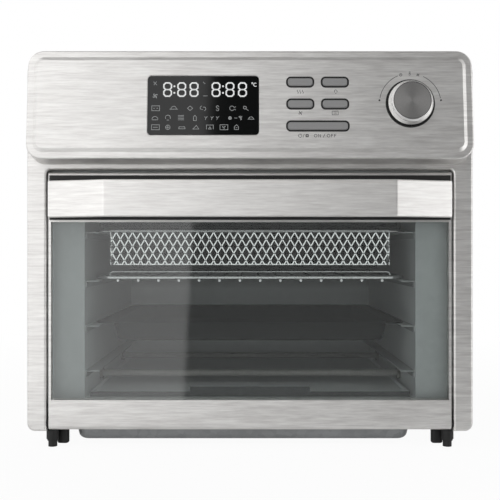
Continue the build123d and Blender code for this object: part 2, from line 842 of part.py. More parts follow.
# Button surrounds: black rings let into the fascia
with BuildPart() as button_surrounds:
    with BuildSketch(fascia_plane.offset(backing_front)):
        for place, width in button_places.values():
            with Locations(place):
                RectangleRounded(width - 2 * surround_fit, button_height - 2 * surround_fit,
                                 button_corner - surround_fit)
                RectangleRounded(width - 2 * surround_width, button_height - 2 * surround_width,
                                 button_corner - surround_width, mode=Mode.SUBTRACT)
    extrude(amount=field_rise + surround_rise - backing_front)
save(button_surrounds, "button_surrounds")

# Push buttons: bevelled caps with a flange behind the backing that keeps them in
cap_inset = surround_width + button_gap
cap_height = button_height - 2 * cap_inset
for button_name, (place, width) in button_places.items():
    cap_width = width - 2 * cap_inset
    with BuildPart() as button:
        with BuildSketch(fascia_plane.offset(button_back)):
            with Locations(place):
                RectangleRounded(cap_width, cap_height, button_corner - cap_inset)
        extrude(amount=field_rise + button_rise - button_back)
        chamfer(button.faces().sort_by(fascia_axis)[-1].edges(), button_edge_radius)
        with BuildSketch(fascia_plane.offset(button_back)):
            with Locations(place):
                Rectangle(cap_width + 2 * button_flange, cap_height + 2 * button_flange)
        extrude(amount=-button_flange_thickness)
    save(button, button_name)

# Knob bezel: a shallow black cup in the fascia around the knob
with BuildPart() as knob_bezel:
    with BuildSketch(fascia_plane.offset(backing_front)):
        with Locations(knob_place):
            Circle(knob_bezel_radius - surround_fit)
    extrude(amount=field_rise + knob_bezel_rise - backing_front)
    with BuildSketch(fascia_plane.offset(backing_front + knob_floor)):
        with Locations(knob_place):
            Circle(knob_bezel_radius - knob_bezel_wall)
    extrude(amount=field_rise + knob_bezel_rise - backing_front, mode=Mode.SUBTRACT)
    with BuildSketch(fascia_plane.offset(backing_front)):
        with Locations(knob_place):
            Circle(encoder_boss_radius + module_fit)
    extrude(amount=knob_floor, mode=Mode.SUBTRACT)
save(knob_bezel, "knob_bezel")

# Knob skirt: a turned chrome bell with a waist, a thin lip and a blind bore for the shaft
knob_origin = fascia_plane.from_local_coords((knob_x, knob_v, 0))
knob_plane = Plane(knob_origin, x_dir=(1, 0, 0), z_dir=(0, -sin(tilt), -cos(tilt)))
knob_axis = Axis(knob_origin, fascia_plane.z_dir)
knob_base = backing_front + knob_floor + knob_gap
knob_top = field_rise + knob_height
recess_radius = knob_face_radius + knob_cap_fit
recess_floor = knob_top - knob_cap_thickness
lip_radius = recess_radius + knob_lip
shaft_top = recess_floor - 2 * knob_cap_thickness
with BuildPart() as knob_skirt:
    with BuildSketch(knob_plane):
        with BuildLine():
            Polyline(
                (lip_radius, knob_top - knob_lip),
                (lip_radius - knob_lip / 2, knob_top),
                (recess_radius, knob_top),
                (recess_radius, recess_floor),
                (0, recess_floor),
                (0, shaft_top),
                (shaft_radius + shaft_clearance, shaft_top),
                (shaft_radius + shaft_clearance, knob_base),
                (knob_skirt_radius, knob_base),
                (knob_skirt_radius, knob_base + knob_rim),
            )
            SagittaArc(
                (knob_skirt_radius, knob_base + knob_rim),
                (lip_radius, knob_top - knob_lip),
                -knob_hollow,
            )
        make_face()
    revolve(axis=knob_axis)
save(knob_skirt, "knob_skirt")

# Knob face: a thin brushed disc in the top of the skirt
with BuildPart() as knob_cap:
    with BuildSketch(fascia_plane.offset(recess_floor)):
        with Locations(knob_place):
            Circle(knob_face_radius)
    extrude(amount=knob_cap_thickness)
save(knob_cap, "knob_cap")

# Rotary encoder: a square body on the control board with a threaded boss
with BuildPart() as encoder_body:
    with BuildSketch(fascia_plane.offset(board_front)):
        with Locations(knob_place):
            Rectangle(encoder_size, encoder_size)
    extrude(amount=encoder_height)
    with BuildSketch(fascia_plane.offset(board_front)):
        with Locations(knob_place):
            Circle(encoder_boss_radius)
    extrude(amount=backing_front + knob_floor - board_front)
    with BuildSketch(fascia_plane.offset(board_front + knob_floor)):
        with Locations(knob_place):
            Circle(shaft_radius + shaft_clearance)
    extrude(amount=board_depth, mode=Mode.SUBTRACT)
save(encoder_body, "encoder_body")

# Encoder shaft: turns in the encoder and carries the knob
with BuildPart() as encoder_shaft:
    with BuildSketch(fascia_plane.offset(board_front + knob_floor + shaft_clearance)):
        with Locations(knob_place):
            Circle(shaft_radius)
    extrude(amount=shaft_top - shaft_clearance - (board_front + knob_floor + shaft_clearance))
save(encoder_shaft, "encoder_shaft")

# Power board: relays and a transformer on a board that stands off the right side of the wrap
power_board_x = wrap_inner_half - power_board_standoff
power_board_y = front_y + power_board_setback
with BuildPart() as power_board:
    with BuildSketch(side_plane(power_board_x)):
        with Locations((power_board_y, power_board_z)):
            Rectangle(power_board_length, power_board_height)
    extrude(amount=-board_thickness)
    with BuildSketch(side_plane(power_board_x)):
        with Locations((power_board_y, power_board_z)):
            with GridLocations(power_board_length - 4 * standoff_radius,
                               power_board_height - 4 * standoff_radius, 2, 2):
                Circle(standoff_radius)
    extrude(amount=power_board_standoff)
    with BuildSketch(side_plane(power_board_x - board_thickness)):
        with Locations((power_board_y - relay_pitch / 2, power_board_z)):
            with GridLocations(relay_pitch, relay_pitch, 2, 2):
                Rectangle(relay_size, relay_size)
        with Locations((power_board_y + relay_pitch, power_board_z)):
            Rectangle(relay_size, 2 * relay_size)
    extrude(amount=-relay_size)
save(power_board, "power_board")

# Cavity walls: flat sheets pierced for the heaters and, on the right, the lamp and the probe
heater_ys = (cavity_mid_y - heater_spread / 2, cavity_mid_y + heater_spread / 2)
heater_places = [(y, z) for y in heater_ys for z in (lower_heater_z, upper_heater_z)]
lamp_place = (cavity_front_y + lamp_setback, lamp_z)
probe_place = (cavity_front_y + probe_setback, upper_heater_z)
wall_xs = {"cavity_left_wall": -cavity_half - cavity_sheet, "cavity_right_wall": cavity_half}
for wall_name, wall_x in wall_xs.items():
    with BuildPart() as wall:
        with BuildSketch(side_plane(wall_x)):
            with Locations((cavity_front_y, cavity_floor_z)):
                Rectangle(cavity_depth, cavity_height, align=(Align.MIN, Align.MIN))
            with Locations(*heater_places):
                Circle(insulator_barrel_radius + heater_fit / 2, mode=Mode.SUBTRACT)
            if wall_x > 0:
                with Locations(lamp_place):
                    Circle(lamp_bulb_radius + lamp_lens_wall, mode=Mode.SUBTRACT)
                with Locations(probe_place):
                    Circle(probe_radius + probe_fit, mode=Mode.SUBTRACT)
        extrude(amount=cavity_sheet)
    save(wall, wall_name)

# Cavity floor
with BuildPart() as cavity_floor:
    with BuildSketch(level_plane(cavity_floor_z)):
        with Locations((0, cavity_front_y)):
            Rectangle(cavity_width + 2 * cavity_sheet, cavity_depth + cavity_sheet,
                      align=(Align.CENTER, Align.MIN))
    extrude(amount=-cavity_sheet)
save(cavity_floor, "cavity_floor")

# Cavity back
with BuildPart() as cavity_back:
    with BuildSketch(front_plane(cavity_back_y + cavity_sheet)):
        with Locations((0, cavity_floor_z)):
            Rectangle(cavity_width + 2 * cavity_sheet, cavity_height, align=(Align.CENTER, Align.MIN))
    extrude(amount=cavity_sheet)
save(cavity_back, "cavity_back")

# Cavity top, with the round opening under the fan
with BuildPart() as cavity_top:
    with BuildSketch(level_plane(cavity_top_z)):
        with Locations((0, cavity_front_y)):
            Rectangle(cavity_width + 2 * cavity_sheet, cavity_depth + cavity_sheet,
                      align=(Align.CENTER, Align.MIN))
        with Locations((0, cavity_mid_y)):
            Circle(fan_opening_radius, mode=Mode.SUBTRACT)
    extrude(amount=cavity_sheet)
save(cavity_top, "cavity_top")

# Rack rails: four folded ledges on each side wall
rail_length = cavity_depth - 2 * rail_end_gap
rail_levels = [first_rail_z + rail_pitch * step for step in range(rail_count - 1)] + [top_rail_z]
with BuildPart() as rack_rails_left:
    with BuildSketch(front_plane(cavity_back_y - rail_end_gap)):
        for level in rail_levels:
            with Locations((-cavity_half, level)):
                Rectangle(rail_width, rail_sheet_thickness, align=(Align.MIN, Align.MAX))
                Rectangle(rail_sheet_thickness, rail_leg + rail_sheet_thickness,
                          align=(Align.MIN, Align.MAX))
    extrude(amount=rail_length)
save(rack_rails_left, "rack_rails_left")

with BuildPart() as rack_rails_right:
    mirror(rack_rails_left.part, about=Plane.YZ)
save(rack_rails_right, "rack_rails_right")

# Heaters: sheathed tubes across the cavity, two above and two below
heater_length = cavity_width + 2 * cavity_sheet + 2 * heater_overhang
heater_levels = {"upper_heaters": upper_heater_z, "lower_heaters": lower_heater_z}
for heater_name, heater_z in heater_levels.items():
    with BuildPart() as heaters:
        with BuildSketch(side_plane(-heater_length / 2)):
            with Locations(*[(y, heater_z) for y in heater_ys]):
                Circle(heater_radius)
        extrude(amount=heater_length)
    save(heaters, heater_name)

# Heater insulators: ceramic bushes that carry the heaters in the walls
with BuildPart() as heater_insulators:
    with BuildSketch(side_plane(cavity_half - insulator_collar)):
        with Locations(*heater_places):
            Circle(insulator_collar_radius)
            Circle(heater_radius + heater_fit, mode=Mode.SUBTRACT)
    extrude(amount=insulator_collar)
    with BuildSketch(side_plane(cavity_half)):
        with Locations(*heater_places):
            Circle(insulator_barrel_radius)
            Circle(heater_radius + heater_fit, mode=Mode.SUBTRACT)
    extrude(amount=cavity_sheet + insulator_tail)
    mirror(about=Plane.YZ)
save(heater_insulators, "heater_insulators")

# Fan housing: a drawn round pan on top of the cavity
ceiling_z = cavity_top_z + cavity_sheet
housing_top_z = ceiling_z + fan_housing_height
fan_axis = Axis((0, cavity_mid_y, 0), (0, 0, 1))
fan_plane = Plane((0, cavity_mid_y, 0), x_dir=(1, 0, 0), z_dir=(0, -1, 0))
with BuildPart() as fan_housing:
    with BuildSketch(fan_plane):
        with BuildLine():
            Polyline(
                (fan_housing_radius - cavity_sheet, ceiling_z),
                (fan_housing_radius + fan_hub_radius, ceiling_z),
                (fan_housing_radius + fan_hub_radius, ceiling_z + cavity_sheet),
                (fan_housing_radius, ceiling_z + cavity_sheet),
                (fan_housing_radius, housing_top_z),
                (fan_hub_radius, housing_top_z),
                (fan_hub_radius, housing_top_z - cavity_sheet),
                (fan_housing_radius - cavity_sheet, housing_top_z - cavity_sheet),
                close=True,
            )
        make_face()
    revolve(axis=fan_axis)
save(fan_housing, "fan_housing")

# Fan cover: a slotted disc under the fan opening
with BuildPart() as fan_cover:
    with BuildSketch(Plane((0, cavity_mid_y, cavity_top_z))):
        Circle(fan_cover_radius)
        for ring_radius in fan_cover_rings:
            with PolarLocations(ring_radius, fan_cover_slots):
                SlotOverall(fan_cover_slot_length, vent_width, mode=Mode.SUBTRACT)
    extrude(amount=-fan_cover_sheet)
save(fan_cover, "fan_cover")

# Fan blade: a sheet disc with upright vanes round its edge and a hub on the shaft
fan_z = ceiling_z + fan_lift
with BuildPart() as fan_blade:
    with BuildSketch(Plane((0, cavity_mid_y, fan_z))):
        Circle(fan_radius)
        Circle(fan_shaft_radius + shaft_clearance, mode=Mode.SUBTRACT)
    extrude(amount=fan_sheet)
    with BuildSketch(Plane((0, cavity_mid_y, fan_z))):
        with PolarLocations(fan_radius - fan_vane_length / 2, fan_vanes):
            Rectangle(fan_vane_length, fan_sheet, rotation=fan_vane_angle)
        Circle(fan_hub_radius - fan_sheet)
        Circle(fan_shaft_radius + shaft_clearance, mode=Mode.SUBTRACT)
    extrude(amount=-fan_vane_height)
save(fan_blade, "fan_blade")

# Fan motor: a round can on three bosses over the housing, bored for the shaft
motor_z = housing_top_z + motor_lift
shaft_end_z = motor_z + motor_height - motor_lift
with BuildPart() as fan_motor:
    with BuildSketch(Plane((0, cavity_mid_y, motor_z))):
        Circle(motor_radius)
    extrude(amount=motor_height)
    fillet(fan_motor.faces().sort_by(Axis.Z)[-1].edges(), motor_boss_radius)
    with BuildSketch(Plane((0, cavity_mid_y, housing_top_z))):
        with PolarLocations(motor_boss_circle, motor_bosses):
            Circle(motor_boss_radius)
    extrude(amount=motor_lift)
    with BuildSketch(Plane((0, cavity_mid_y, motor_z))):
        Circle(fan_shaft_radius + shaft_clearance)
    extrude(amount=shaft_end_z - motor_z, mode=Mode.SUBTRACT)
save(fan_motor, "fan_motor")

# Fan shaft
shaft_start_z = fan_z - fan_vane_height
with BuildPart() as fan_shaft:
    with BuildSketch(Plane((0, cavity_mid_y, shaft_start_z))):
        Circle(fan_shaft_radius)
    extrude(amount=shaft_end_z - shaft_clearance - shaft_start_z)
save(fan_shaft, "fan_shaft")

# Oven lamp: a socket outside the right wall with a small bulb through it
wall_outer_x = cavity_half + cavity_sheet
with BuildPart() as oven_lamp:
    with BuildSketch(side_plane(wall_outer_x)):
        with Locations(lamp_place):
            Circle(lamp_socket_radius)
    extrude(amount=lamp_socket_length)
    with BuildSketch(side_plane(wall_outer_x)):
        with Locations(lamp_place):
            Circle(lamp_bulb_radius)
    extrude(amount=-lamp_lens_depth)
save(oven_lamp, "oven_lamp")

# Lamp lens: a glass cup over the bulb, inside the cavity
with BuildPart() as lamp_lens:
    with BuildSketch(side_plane(cavity_half)):
        with Locations(lamp_place):
            Circle(lamp_lens_radius)
    extrude(amount=-lamp_lens_depth - lamp_lens_wall)
    fillet(lamp_lens.faces().sort_by(Axis.X)[0].edges(), lamp_lens_depth / 2)
    with BuildSketch(side_plane(cavity_half)):
        with Locations(lamp_place):
            Circle(lamp_lens_radius - 2 * lamp_lens_wall)
    extrude(amount=-lamp_lens_depth, mode=Mode.SUBTRACT)
save(lamp_lens, "lamp_lens")

# Temperature probe: a rod through the right wall with a collar outside
with BuildPart() as temperature_probe:
    with BuildSketch(side_plane(wall_outer_x)):
        with Locations(probe_place):
            Circle(probe_collar_radius)
    extrude(amount=probe_radius)
    with BuildSketch(side_plane(wall_outer_x)):
        with Locations(probe_place):
            Circle(probe_radius)
    extrude(amount=-probe_length)
save(temperature_probe, "temperature_probe")

# Basket rim: a flat steel frame that rides on the top rails, with a raised bead round the mouth
basket_mouth_length = accessory_length - 2 * basket_rim_ledge
with BuildPart() as basket_rim:
    with BuildSketch(Plane((0, accessory_mid_y, basket_level))):
        RectangleRounded(accessory_width, accessory_length, basket_corner)
        Rectangle(basket_width, basket_mouth_length, mode=Mode.SUBTRACT)
    extrude(amount=basket_rim_sheet)
    with BuildSketch(Plane((0, accessory_mid_y, basket_level + basket_rim_sheet))):
        RectangleRounded(basket_width + 2 * basket_rim_bead, basket_mouth_length + 2 * basket_rim_bead,
                         basket_rim_bead)
        Rectangle(basket_width, basket_mouth_length, mode=Mode.SUBTRACT)
    extrude(amount=basket_rim_bead)
save(basket_rim, "basket_rim")


def diamond_net(width, height, scale):
    """A flat net as one holed face: a rectangle pierced by diamonds in staggered rows, clipped at a border.

    Diamonds are mesh_pitch wide and mesh_step high, times scale, and shrink by the wire between them.
    """
    pitch = mesh_pitch * scale
    step = mesh_step * scale
    shrink = 1 - mesh_wire * hypot(1 / pitch, 1 / step)
    half_wide = shrink * pitch / 2
    half_high = shrink * step / 2
    columns = int(width / pitch) + 2
    rows = int(height / step) + 2
    with BuildSketch() as holes:
        with GridLocations(pitch, step, columns, rows):
            Polygon((-half_wide, 0), (0, -half_high), (half_wide, 0), (0, half_high))
        with GridLocations(pitch, step, columns + 1, rows + 1):
            Polygon((-half_wide, 0), (0, -half_high), (half_wide, 0), (0, half_high))
        Rectangle(width - 2 * mesh_border, height - 2 * mesh_border, mode=Mode.INTERSECT)
    with BuildSketch() as net:
        Rectangle(width, height)
        add(holes.sketch, mode=Mode.SUBTRACT)
    return net.sketch


# Basket net: a fine diamond mesh in front and coarser nets for the other walls and the floor
basket_half = basket_width / 2
basket_floor_z = basket_level - basket_drop
mouth_front_y = accessory_mid_y - basket_mouth_length / 2
mouth_back_y = accessory_mid_y + basket_mouth_length / 2
net_mid_z = (basket_floor_z + basket_level) / 2
front_net = diamond_net(basket_width, basket_drop, 1.0)
back_net = diamond_net(basket_width, basket_drop, coarse_mesh_scale)
floor_width = basket_width + 2 * mesh_sheet
floor_length = basket_mouth_length + 2 * mesh_sheet
side_net = diamond_net(floor_length, basket_drop, coarse_mesh_scale)
floor_net = diamond_net(floor_width, floor_length, coarse_mesh_scale)
with BuildPart() as basket_mesh:
    with BuildSketch(Plane((0, mouth_front_y, net_mid_z), x_dir=(1, 0, 0), z_dir=(0, -1, 0))):
        add(front_net)
    extrude(amount=mesh_sheet)
    with BuildSketch(Plane((0, mouth_back_y, net_mid_z), x_dir=(-1, 0, 0), z_dir=(0, 1, 0))):
        add(back_net)
    extrude(amount=mesh_sheet)
    for side in (-1, 1):
        with BuildSketch(Plane((side * basket_half, accessory_mid_y, net_mid_z), x_dir=(0, side, 0),
                               z_dir=(side, 0, 0))):
            add(side_net)
        extrude(amount=mesh_sheet)
    with BuildSketch(Plane((0, accessory_mid_y, basket_floor_z))):
        add(floor_net)
    extrude(amount=-mesh_sheet)
save(basket_mesh, "basket_mesh")

# Wire rack: a bent frame bar with lengthwise wires welded under it
rack_z = rack_level + rack_bar_radius
rack_half = accessory_width / 2 - rack_bar_radius
rack_length = accessory_length - 2 * rack_bar_radius
rack_wire_z = rack_z - rack_bar_radius - rack_wire_radius + rack_wire_sink
rack_wire_length = accessory_length - rack_bar_radius
with BuildPart() as wire_rack:
    with BuildLine(Plane((0, accessory_mid_y, rack_z))) as frame_path:
        FilletPolyline(
            (-rack_half, -rack_length / 2),
            (rack_half, -rack_length / 2),
            (rack_half, rack_length / 2),
            (-rack_half, rack_length / 2),
            radius=rack_corner,
            close=True,
        )
    frame_wire = frame_path.wire()
    with BuildSketch(Plane(frame_wire @ 0, z_dir=frame_wire % 0)):
        Circle(rack_bar_radius)
    sweep(path=frame_wire)
    with BuildSketch(front_plane(accessory_mid_y + rack_wire_length / 2)):
        with Locations((0, rack_wire_z)):
            with GridLocations(rack_wire_pitch, 0, rack_wire_count, 1):
                Circle(rack_wire_radius)
    extrude(amount=rack_wire_length)
save(wire_rack, "wire_rack")

# Baking tray: a drawn dark pan with a flat rim that rides on the rails
tray_wall = tray_sheet / cos(radians(tray_slope))
with BuildPart() as tray_inside:
    with BuildSketch(Plane((0, accessory_mid_y, tray_level + tray_sheet))):
        RectangleRounded(tray_pan_width - 2 * tray_wall, tray_pan_length - 2 * tray_wall,
                         tray_corner - tray_wall)
    extrude(amount=tray_sheet - tray_depth, taper=tray_slope)
    fillet(tray_inside.faces().sort_by(Axis.Z)[0].edges(), tray_floor_radius - tray_sheet)
with BuildPart() as baking_tray:
    with BuildSketch(Plane((0, accessory_mid_y, tray_level + tray_sheet))):
        RectangleRounded(tray_pan_width, tray_pan_length, tray_corner)
    extrude(amount=-tray_depth, taper=tray_slope)
    fillet(baking_tray.faces().sort_by(Axis.Z)[0].edges(), tray_floor_radius)
    with BuildSketch(Plane((0, accessory_mid_y, tray_level))):
        RectangleRounded(accessory_width, accessory_length, tray_corner)
    extrude(amount=tray_sheet)
    add(tray_inside.part, mode=Mode.SUBTRACT)
save(baking_tray, "baking_tray")

# Crumb tray: a shallow folded tray on the cavity floor with a finger lip in front
crumb_front_y = front_y + crumb_front_setback
crumb_length = cavity_back_y - crumb_rear_gap - crumb_front_y
crumb_z = cavity_floor_z + rest_gap
with BuildPart() as crumb_tray:
    with BuildSketch(level_plane(crumb_z)):
        with Locations((0, crumb_front_y)):
            Rectangle(cavity_width - 2 * crumb_side_gap, crumb_length, align=(Align.CENTER, Align.MIN))
    extrude(amount=crumb_depth)
    offset(amount=-crumb_sheet, openings=crumb_tray.faces().sort_by(Axis.Z)[-1])
    with BuildSketch(front_plane(crumb_front_y + crumb_sheet)):
        with Locations((0, crumb_z)):
            Rectangle(crumb_lip_width, crumb_lip_height, align=(Align.CENTER, Align.MIN))
    extrude(amount=crumb_sheet)
save(crumb_tray, "crumb_tray")
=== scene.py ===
import math
import bpy
import numpy as np
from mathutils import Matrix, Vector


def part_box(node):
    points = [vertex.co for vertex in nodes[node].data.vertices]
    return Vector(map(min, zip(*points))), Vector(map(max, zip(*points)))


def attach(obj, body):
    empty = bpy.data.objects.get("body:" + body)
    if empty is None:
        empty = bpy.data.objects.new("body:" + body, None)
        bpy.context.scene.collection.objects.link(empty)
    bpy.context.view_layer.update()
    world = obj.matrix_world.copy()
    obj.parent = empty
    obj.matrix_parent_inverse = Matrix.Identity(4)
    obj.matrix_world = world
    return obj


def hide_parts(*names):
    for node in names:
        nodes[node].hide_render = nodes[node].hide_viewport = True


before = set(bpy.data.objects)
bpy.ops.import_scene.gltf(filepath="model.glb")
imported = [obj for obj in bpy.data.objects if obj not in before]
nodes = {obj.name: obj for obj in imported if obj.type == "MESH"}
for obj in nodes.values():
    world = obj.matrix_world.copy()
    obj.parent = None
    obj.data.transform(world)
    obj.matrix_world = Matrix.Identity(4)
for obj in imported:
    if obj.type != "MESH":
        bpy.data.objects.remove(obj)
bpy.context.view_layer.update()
scene = bpy.context.scene
scene.view_settings.view_transform = "Standard"

# The camera stands square in front of the oven, level with the middle of its height.
# At the plane of the front bezel, 750 mm before the lens, the picture is 446 mm wide.
bezel_front = -0.1575
camera_reach = 0.75
picture_width = 0.446
camera_height = 0.177
camera_data = bpy.data.cameras.new("camera")
camera_data.sensor_width = 36.0
camera_data.lens = camera_data.sensor_width * camera_reach / picture_width
camera_data.clip_start = 0.02
camera = bpy.data.objects.new("camera", camera_data)
camera.location = (0.0, bezel_front - camera_reach, camera_height)
camera.rotation_euler = (math.radians(90.0), 0.0, 0.0)
scene.collection.objects.link(camera)
scene.camera = camera


# The casing: bezel, wrapped sheet, fascia, door rails and handle are brushed stainless steel.
# The sheet is ground on a belt along its length, so fine scratches run level round the oven.
def linear(code):
    """sRGB hex to linear red, green, blue and alpha: the standard curve with its straight toe."""
    parts = np.array([int(code[i:i + 2], 16) for i in (1, 3, 5)]) / 255.0
    low = parts / 12.92
    high = ((parts + 0.055) / 1.055) ** 2.4
    return (*np.where(parts <= 0.04045, low, high), 1.0)


def add_node(tree, kind, settings=None, links=None):
    """Adds one node, sets its properties or unlinked inputs, and joins other outputs to its inputs."""
    node = tree.nodes.new(kind)
    for name, value in (settings or {}).items():
        if isinstance(name, str) and hasattr(node, name):
            setattr(node, name, value)
        else:
            node.inputs[name].default_value = value
    for name, output in (links or {}).items():
        tree.links.new(output, node.inputs[name])
    return node


def new_material(name):
    """A material with an empty node tree and its output node."""
    material = bpy.data.materials.new(name)
    material.use_nodes = True
    material.node_tree.nodes.clear()
    output = add_node(material.node_tree, "ShaderNodeOutputMaterial")
    return material, material.node_tree, output


def clouds(tree, scale, detail):
    """Even noise over the piece's own coordinates, with scale in waves to the metre."""
    place = add_node(tree, "ShaderNodeTexCoord")
    noise = add_node(tree, "ShaderNodeTexNoise", {"Scale": scale, "Detail": detail},
                     {"Vector": place.outputs["Object"]})
    return noise.outputs["Fac"]


def toned(tree, share, dark, light, start=0.0, end=1.0):
    """A colour that runs from the dark to the light tone while the share goes from start to end."""
    ramp = add_node(tree, "ShaderNodeValToRGB", links={"Fac": share})
    for stop, position, code in zip(ramp.color_ramp.elements, (start, end), (dark, light)):
        stop.position = position
        stop.color = linear(code)
    return ramp.outputs["Color"]


def dulled(tree, share, low, high):
    """A roughness that runs from low to high with the share."""
    span = add_node(tree, "ShaderNodeMapRange", {"To Min": low, "To Max": high}, {"Value": share})
    return span.outputs["Result"]


def surfaced(tree, output, settings, links):
    """Ends a material with one principled surface."""
    surface = add_node(tree, "ShaderNodeBsdfPrincipled", settings, links)
    tree.links.new(surface.outputs["BSDF"], output.inputs["Surface"])


def dress(material, *names):
    """Puts one material on the named solids."""
    for name in names:
        mesh = nodes[name].data
        mesh.materials.clear()
        mesh.materials.append(material)
        mesh.polygons.foreach_set("material_index", np.zeros(len(mesh.polygons), np.int32))


def brushed_stainless(name, dark, light, rough, scratch_mm, streak_mm, lying=False):
    """Belt-ground stainless steel. Scratches are noise drawn out 14 times along the grain; wider, wavy
    streaks of the same grain, drawn out 10 times, lie over them. Real scratches are a tenth of a millimetre,
    too fine to show, so they are drawn coarser. The highlight is wide across the grain and narrow along it.
    Its direction is the cross product of the normal and a line that no large face has as its normal."""
    material, tree, output = new_material(name)
    place = add_node(tree, "ShaderNodeTexCoord")
    fine = 1000.0 / scratch_mm
    wide = 1000.0 / streak_mm
    fine_long = fine / 14.0
    wide_long = wide / 10.0
    fine_scale = (fine_long, fine, fine_long) if lying else (fine_long, fine_long, fine)
    wide_scale = (wide_long, wide, wide_long) if lying else (wide_long, wide_long, wide)
    fine_map = add_node(tree, "ShaderNodeMapping", {"Scale": fine_scale}, {"Vector": place.outputs["Object"]})
    wide_map = add_node(tree, "ShaderNodeMapping", {"Scale": wide_scale}, {"Vector": place.outputs["Object"]})
    scratches = add_node(tree, "ShaderNodeTexNoise", {"Scale": 1.0, "Detail": 3.0, "Roughness": 0.7},
                         {"Vector": fine_map.outputs["Vector"]})
    streaks = add_node(tree, "ShaderNodeTexNoise", {"Scale": 1.0, "Detail": 2.0, "Distortion": 0.6},
                       {"Vector": wide_map.outputs["Vector"]})
    grain = add_node(tree, "ShaderNodeMix", {"data_type": "FLOAT", "Factor": 0.35},
                     {2: scratches.outputs["Fac"], 3: streaks.outputs["Fac"]})
    tone = toned(tree, grain.outputs[0], dark, light, 0.36, 0.64)
    dull = add_node(tree, "ShaderNodeMapRange",
                    {"From Min": 0.3, "From Max": 0.7, "To Min": rough - 0.03, "To Max": rough + 0.03},
                    {"Value": scratches.outputs["Fac"]})
    bump = add_node(tree, "ShaderNodeBump", {"Strength": 0.12, "Distance": 0.00006},
                    {"Height": grain.outputs[0]})
    facing = add_node(tree, "ShaderNodeNewGeometry")
    across = (0.1, 1.0, 0.1) if lying else (0.0, 0.6, 0.8)
    along = add_node(tree, "ShaderNodeVectorMath", {"operation": "CROSS_PRODUCT", 1: across},
                     {0: facing.outputs["Normal"]})
    surfaced(tree, output, {"Metallic": 1.0, "Anisotropic": 0.5, "Anisotropic Rotation": 0.25},
             {"Base Color": tone, "Roughness": dull.outputs["Result"],
              "Normal": bump.outputs["Normal"], "Tangent": along.outputs["Vector"]})
    return material


steel_look = ("#D2D0CE", "#ECEBE9", 0.5, 1.7, 3.8)
casing_steel = brushed_stainless("brushed_stainless_casing", *steel_look)
wrap_steel = brushed_stainless("brushed_stainless_wrap", *steel_look, lying=True)
dress(casing_steel, "front_bezel", "control_fascia", "door_bottom_rail", "door_top_rail",
      "door_side_channels")
dress(wrap_steel, "outer_wrap")
handle_steel = brushed_stainless("brushed_stainless_handle", "#DFDDDB", "#F4F3F1", 0.52, 1.7, 3.6)
dress(handle_steel, "door_handle")


# Back panel, base, face plate and the plate behind the fascia are zinc-coated sheet steel.
# The zinc freezes in flat crystals some millimetres across, which differ a little in brightness.
def coated_sheet(name, dark, light, rough, crystal_mm, metallic, fade=None):
    """Zinc- or aluminium-coated sheet: cells of one tone each, with a soft blotch over them. A fade gives a
    second tone, an axis and the two places on it, in metres, between which the first tone turns to it."""
    material, tree, output = new_material(name)
    place = add_node(tree, "ShaderNodeTexCoord")
    cells = add_node(tree, "ShaderNodeTexVoronoi", {"Scale": 1000.0 / crystal_mm},
                     {"Vector": place.outputs["Object"]})
    blotch = clouds(tree, 250.0 / crystal_mm, 3.0)
    level = add_node(tree, "ShaderNodeMix", {"data_type": "FLOAT", "Factor": 0.6},
                     {2: cells.outputs["Color"], 3: blotch})
    colour = toned(tree, level.outputs[0], dark, light, 0.25, 0.75)
    if fade:
        second, axis, start, end = fade
        parts = add_node(tree, "ShaderNodeSeparateXYZ", links={"Vector": place.outputs["Object"]})
        share = add_node(tree, "ShaderNodeMapRange", {"From Min": start, "From Max": end},
                         {"Value": parts.outputs[axis]})
        mixed = add_node(tree, "ShaderNodeMix", {"data_type": "RGBA", 7: linear(second)},
                         {0: share.outputs["Result"], 6: colour})
        colour = mixed.outputs[2]
    surfaced(tree, output, {"Metallic": metallic},
             {"Base Color": colour, "Roughness": dulled(tree, blotch, rough - 0.05, rough + 0.05)})
    return material


zinc_sheet = coated_sheet("zinc_coated_sheet", "#A4A7A8", "#B9BCBD", 0.42, 6.0, 0.8)
dress(zinc_sheet, "back_panel", "fascia_backing")
base_zinc = coated_sheet("dull_zinc_base", "#868889", "#989A9B", 0.5, 6.0, 0.8)
dress(base_zinc, "base_plate")
face_sheet = coated_sheet("face_plate_sheet", "#ACB0B0", "#B6BABA", 0.5, 6.0, 0.2)
dress(face_sheet, "cavity_face")


# The cooking space is folded from aluminium-coated steel: bright low down, darker near the top.
# Its rack rails, fan housing and fan cover are pressed from the same sheet, as is the crumb tray, whose front
# lip is dark.
bright_sheet_look = ("#E0E2E2", "#E6E8E8", 0.5, 8.0, 0.2)
# Darker towards the top: the tone turns to #343636 between 0.128 m and 0.155 m up.
back_sheet = coated_sheet("back_sheet_darker_at_top", *bright_sheet_look, fade=("#343636", "Z", 0.128, 0.155))
dress(back_sheet, "cavity_back", "cavity_top", "fan_housing", "fan_cover")
# Darker towards the top: the tone turns to #C0C2C2 between 0.13 m and 0.2 m up.
side_sheet = coated_sheet("side_sheet_darker_at_top", *bright_sheet_look, fade=("#C0C2C2", "Z", 0.13, 0.2))
dress(side_sheet, "cavity_left_wall", "cavity_right_wall", "cavity_floor")
rail_sheet = coated_sheet("dulled_rail_sheet", "#A4A6A6", "#ACAEAE", 0.7, 8.0, 0.2)
dress(rail_sheet, "rack_rails_left", "rack_rails_right")
# The tray is dark at its front lip and turns bright behind y = -0.1325 to -0.1315 m.
crumb_sheet = coated_sheet("crumb_tray_sheet", "#454747", "#4B4D4D", 0.5, 8.0, 0.2,
                           fade=("#F0F2F2", "Y", -0.1325, -0.1315))
dress(crumb_sheet, "crumb_tray")
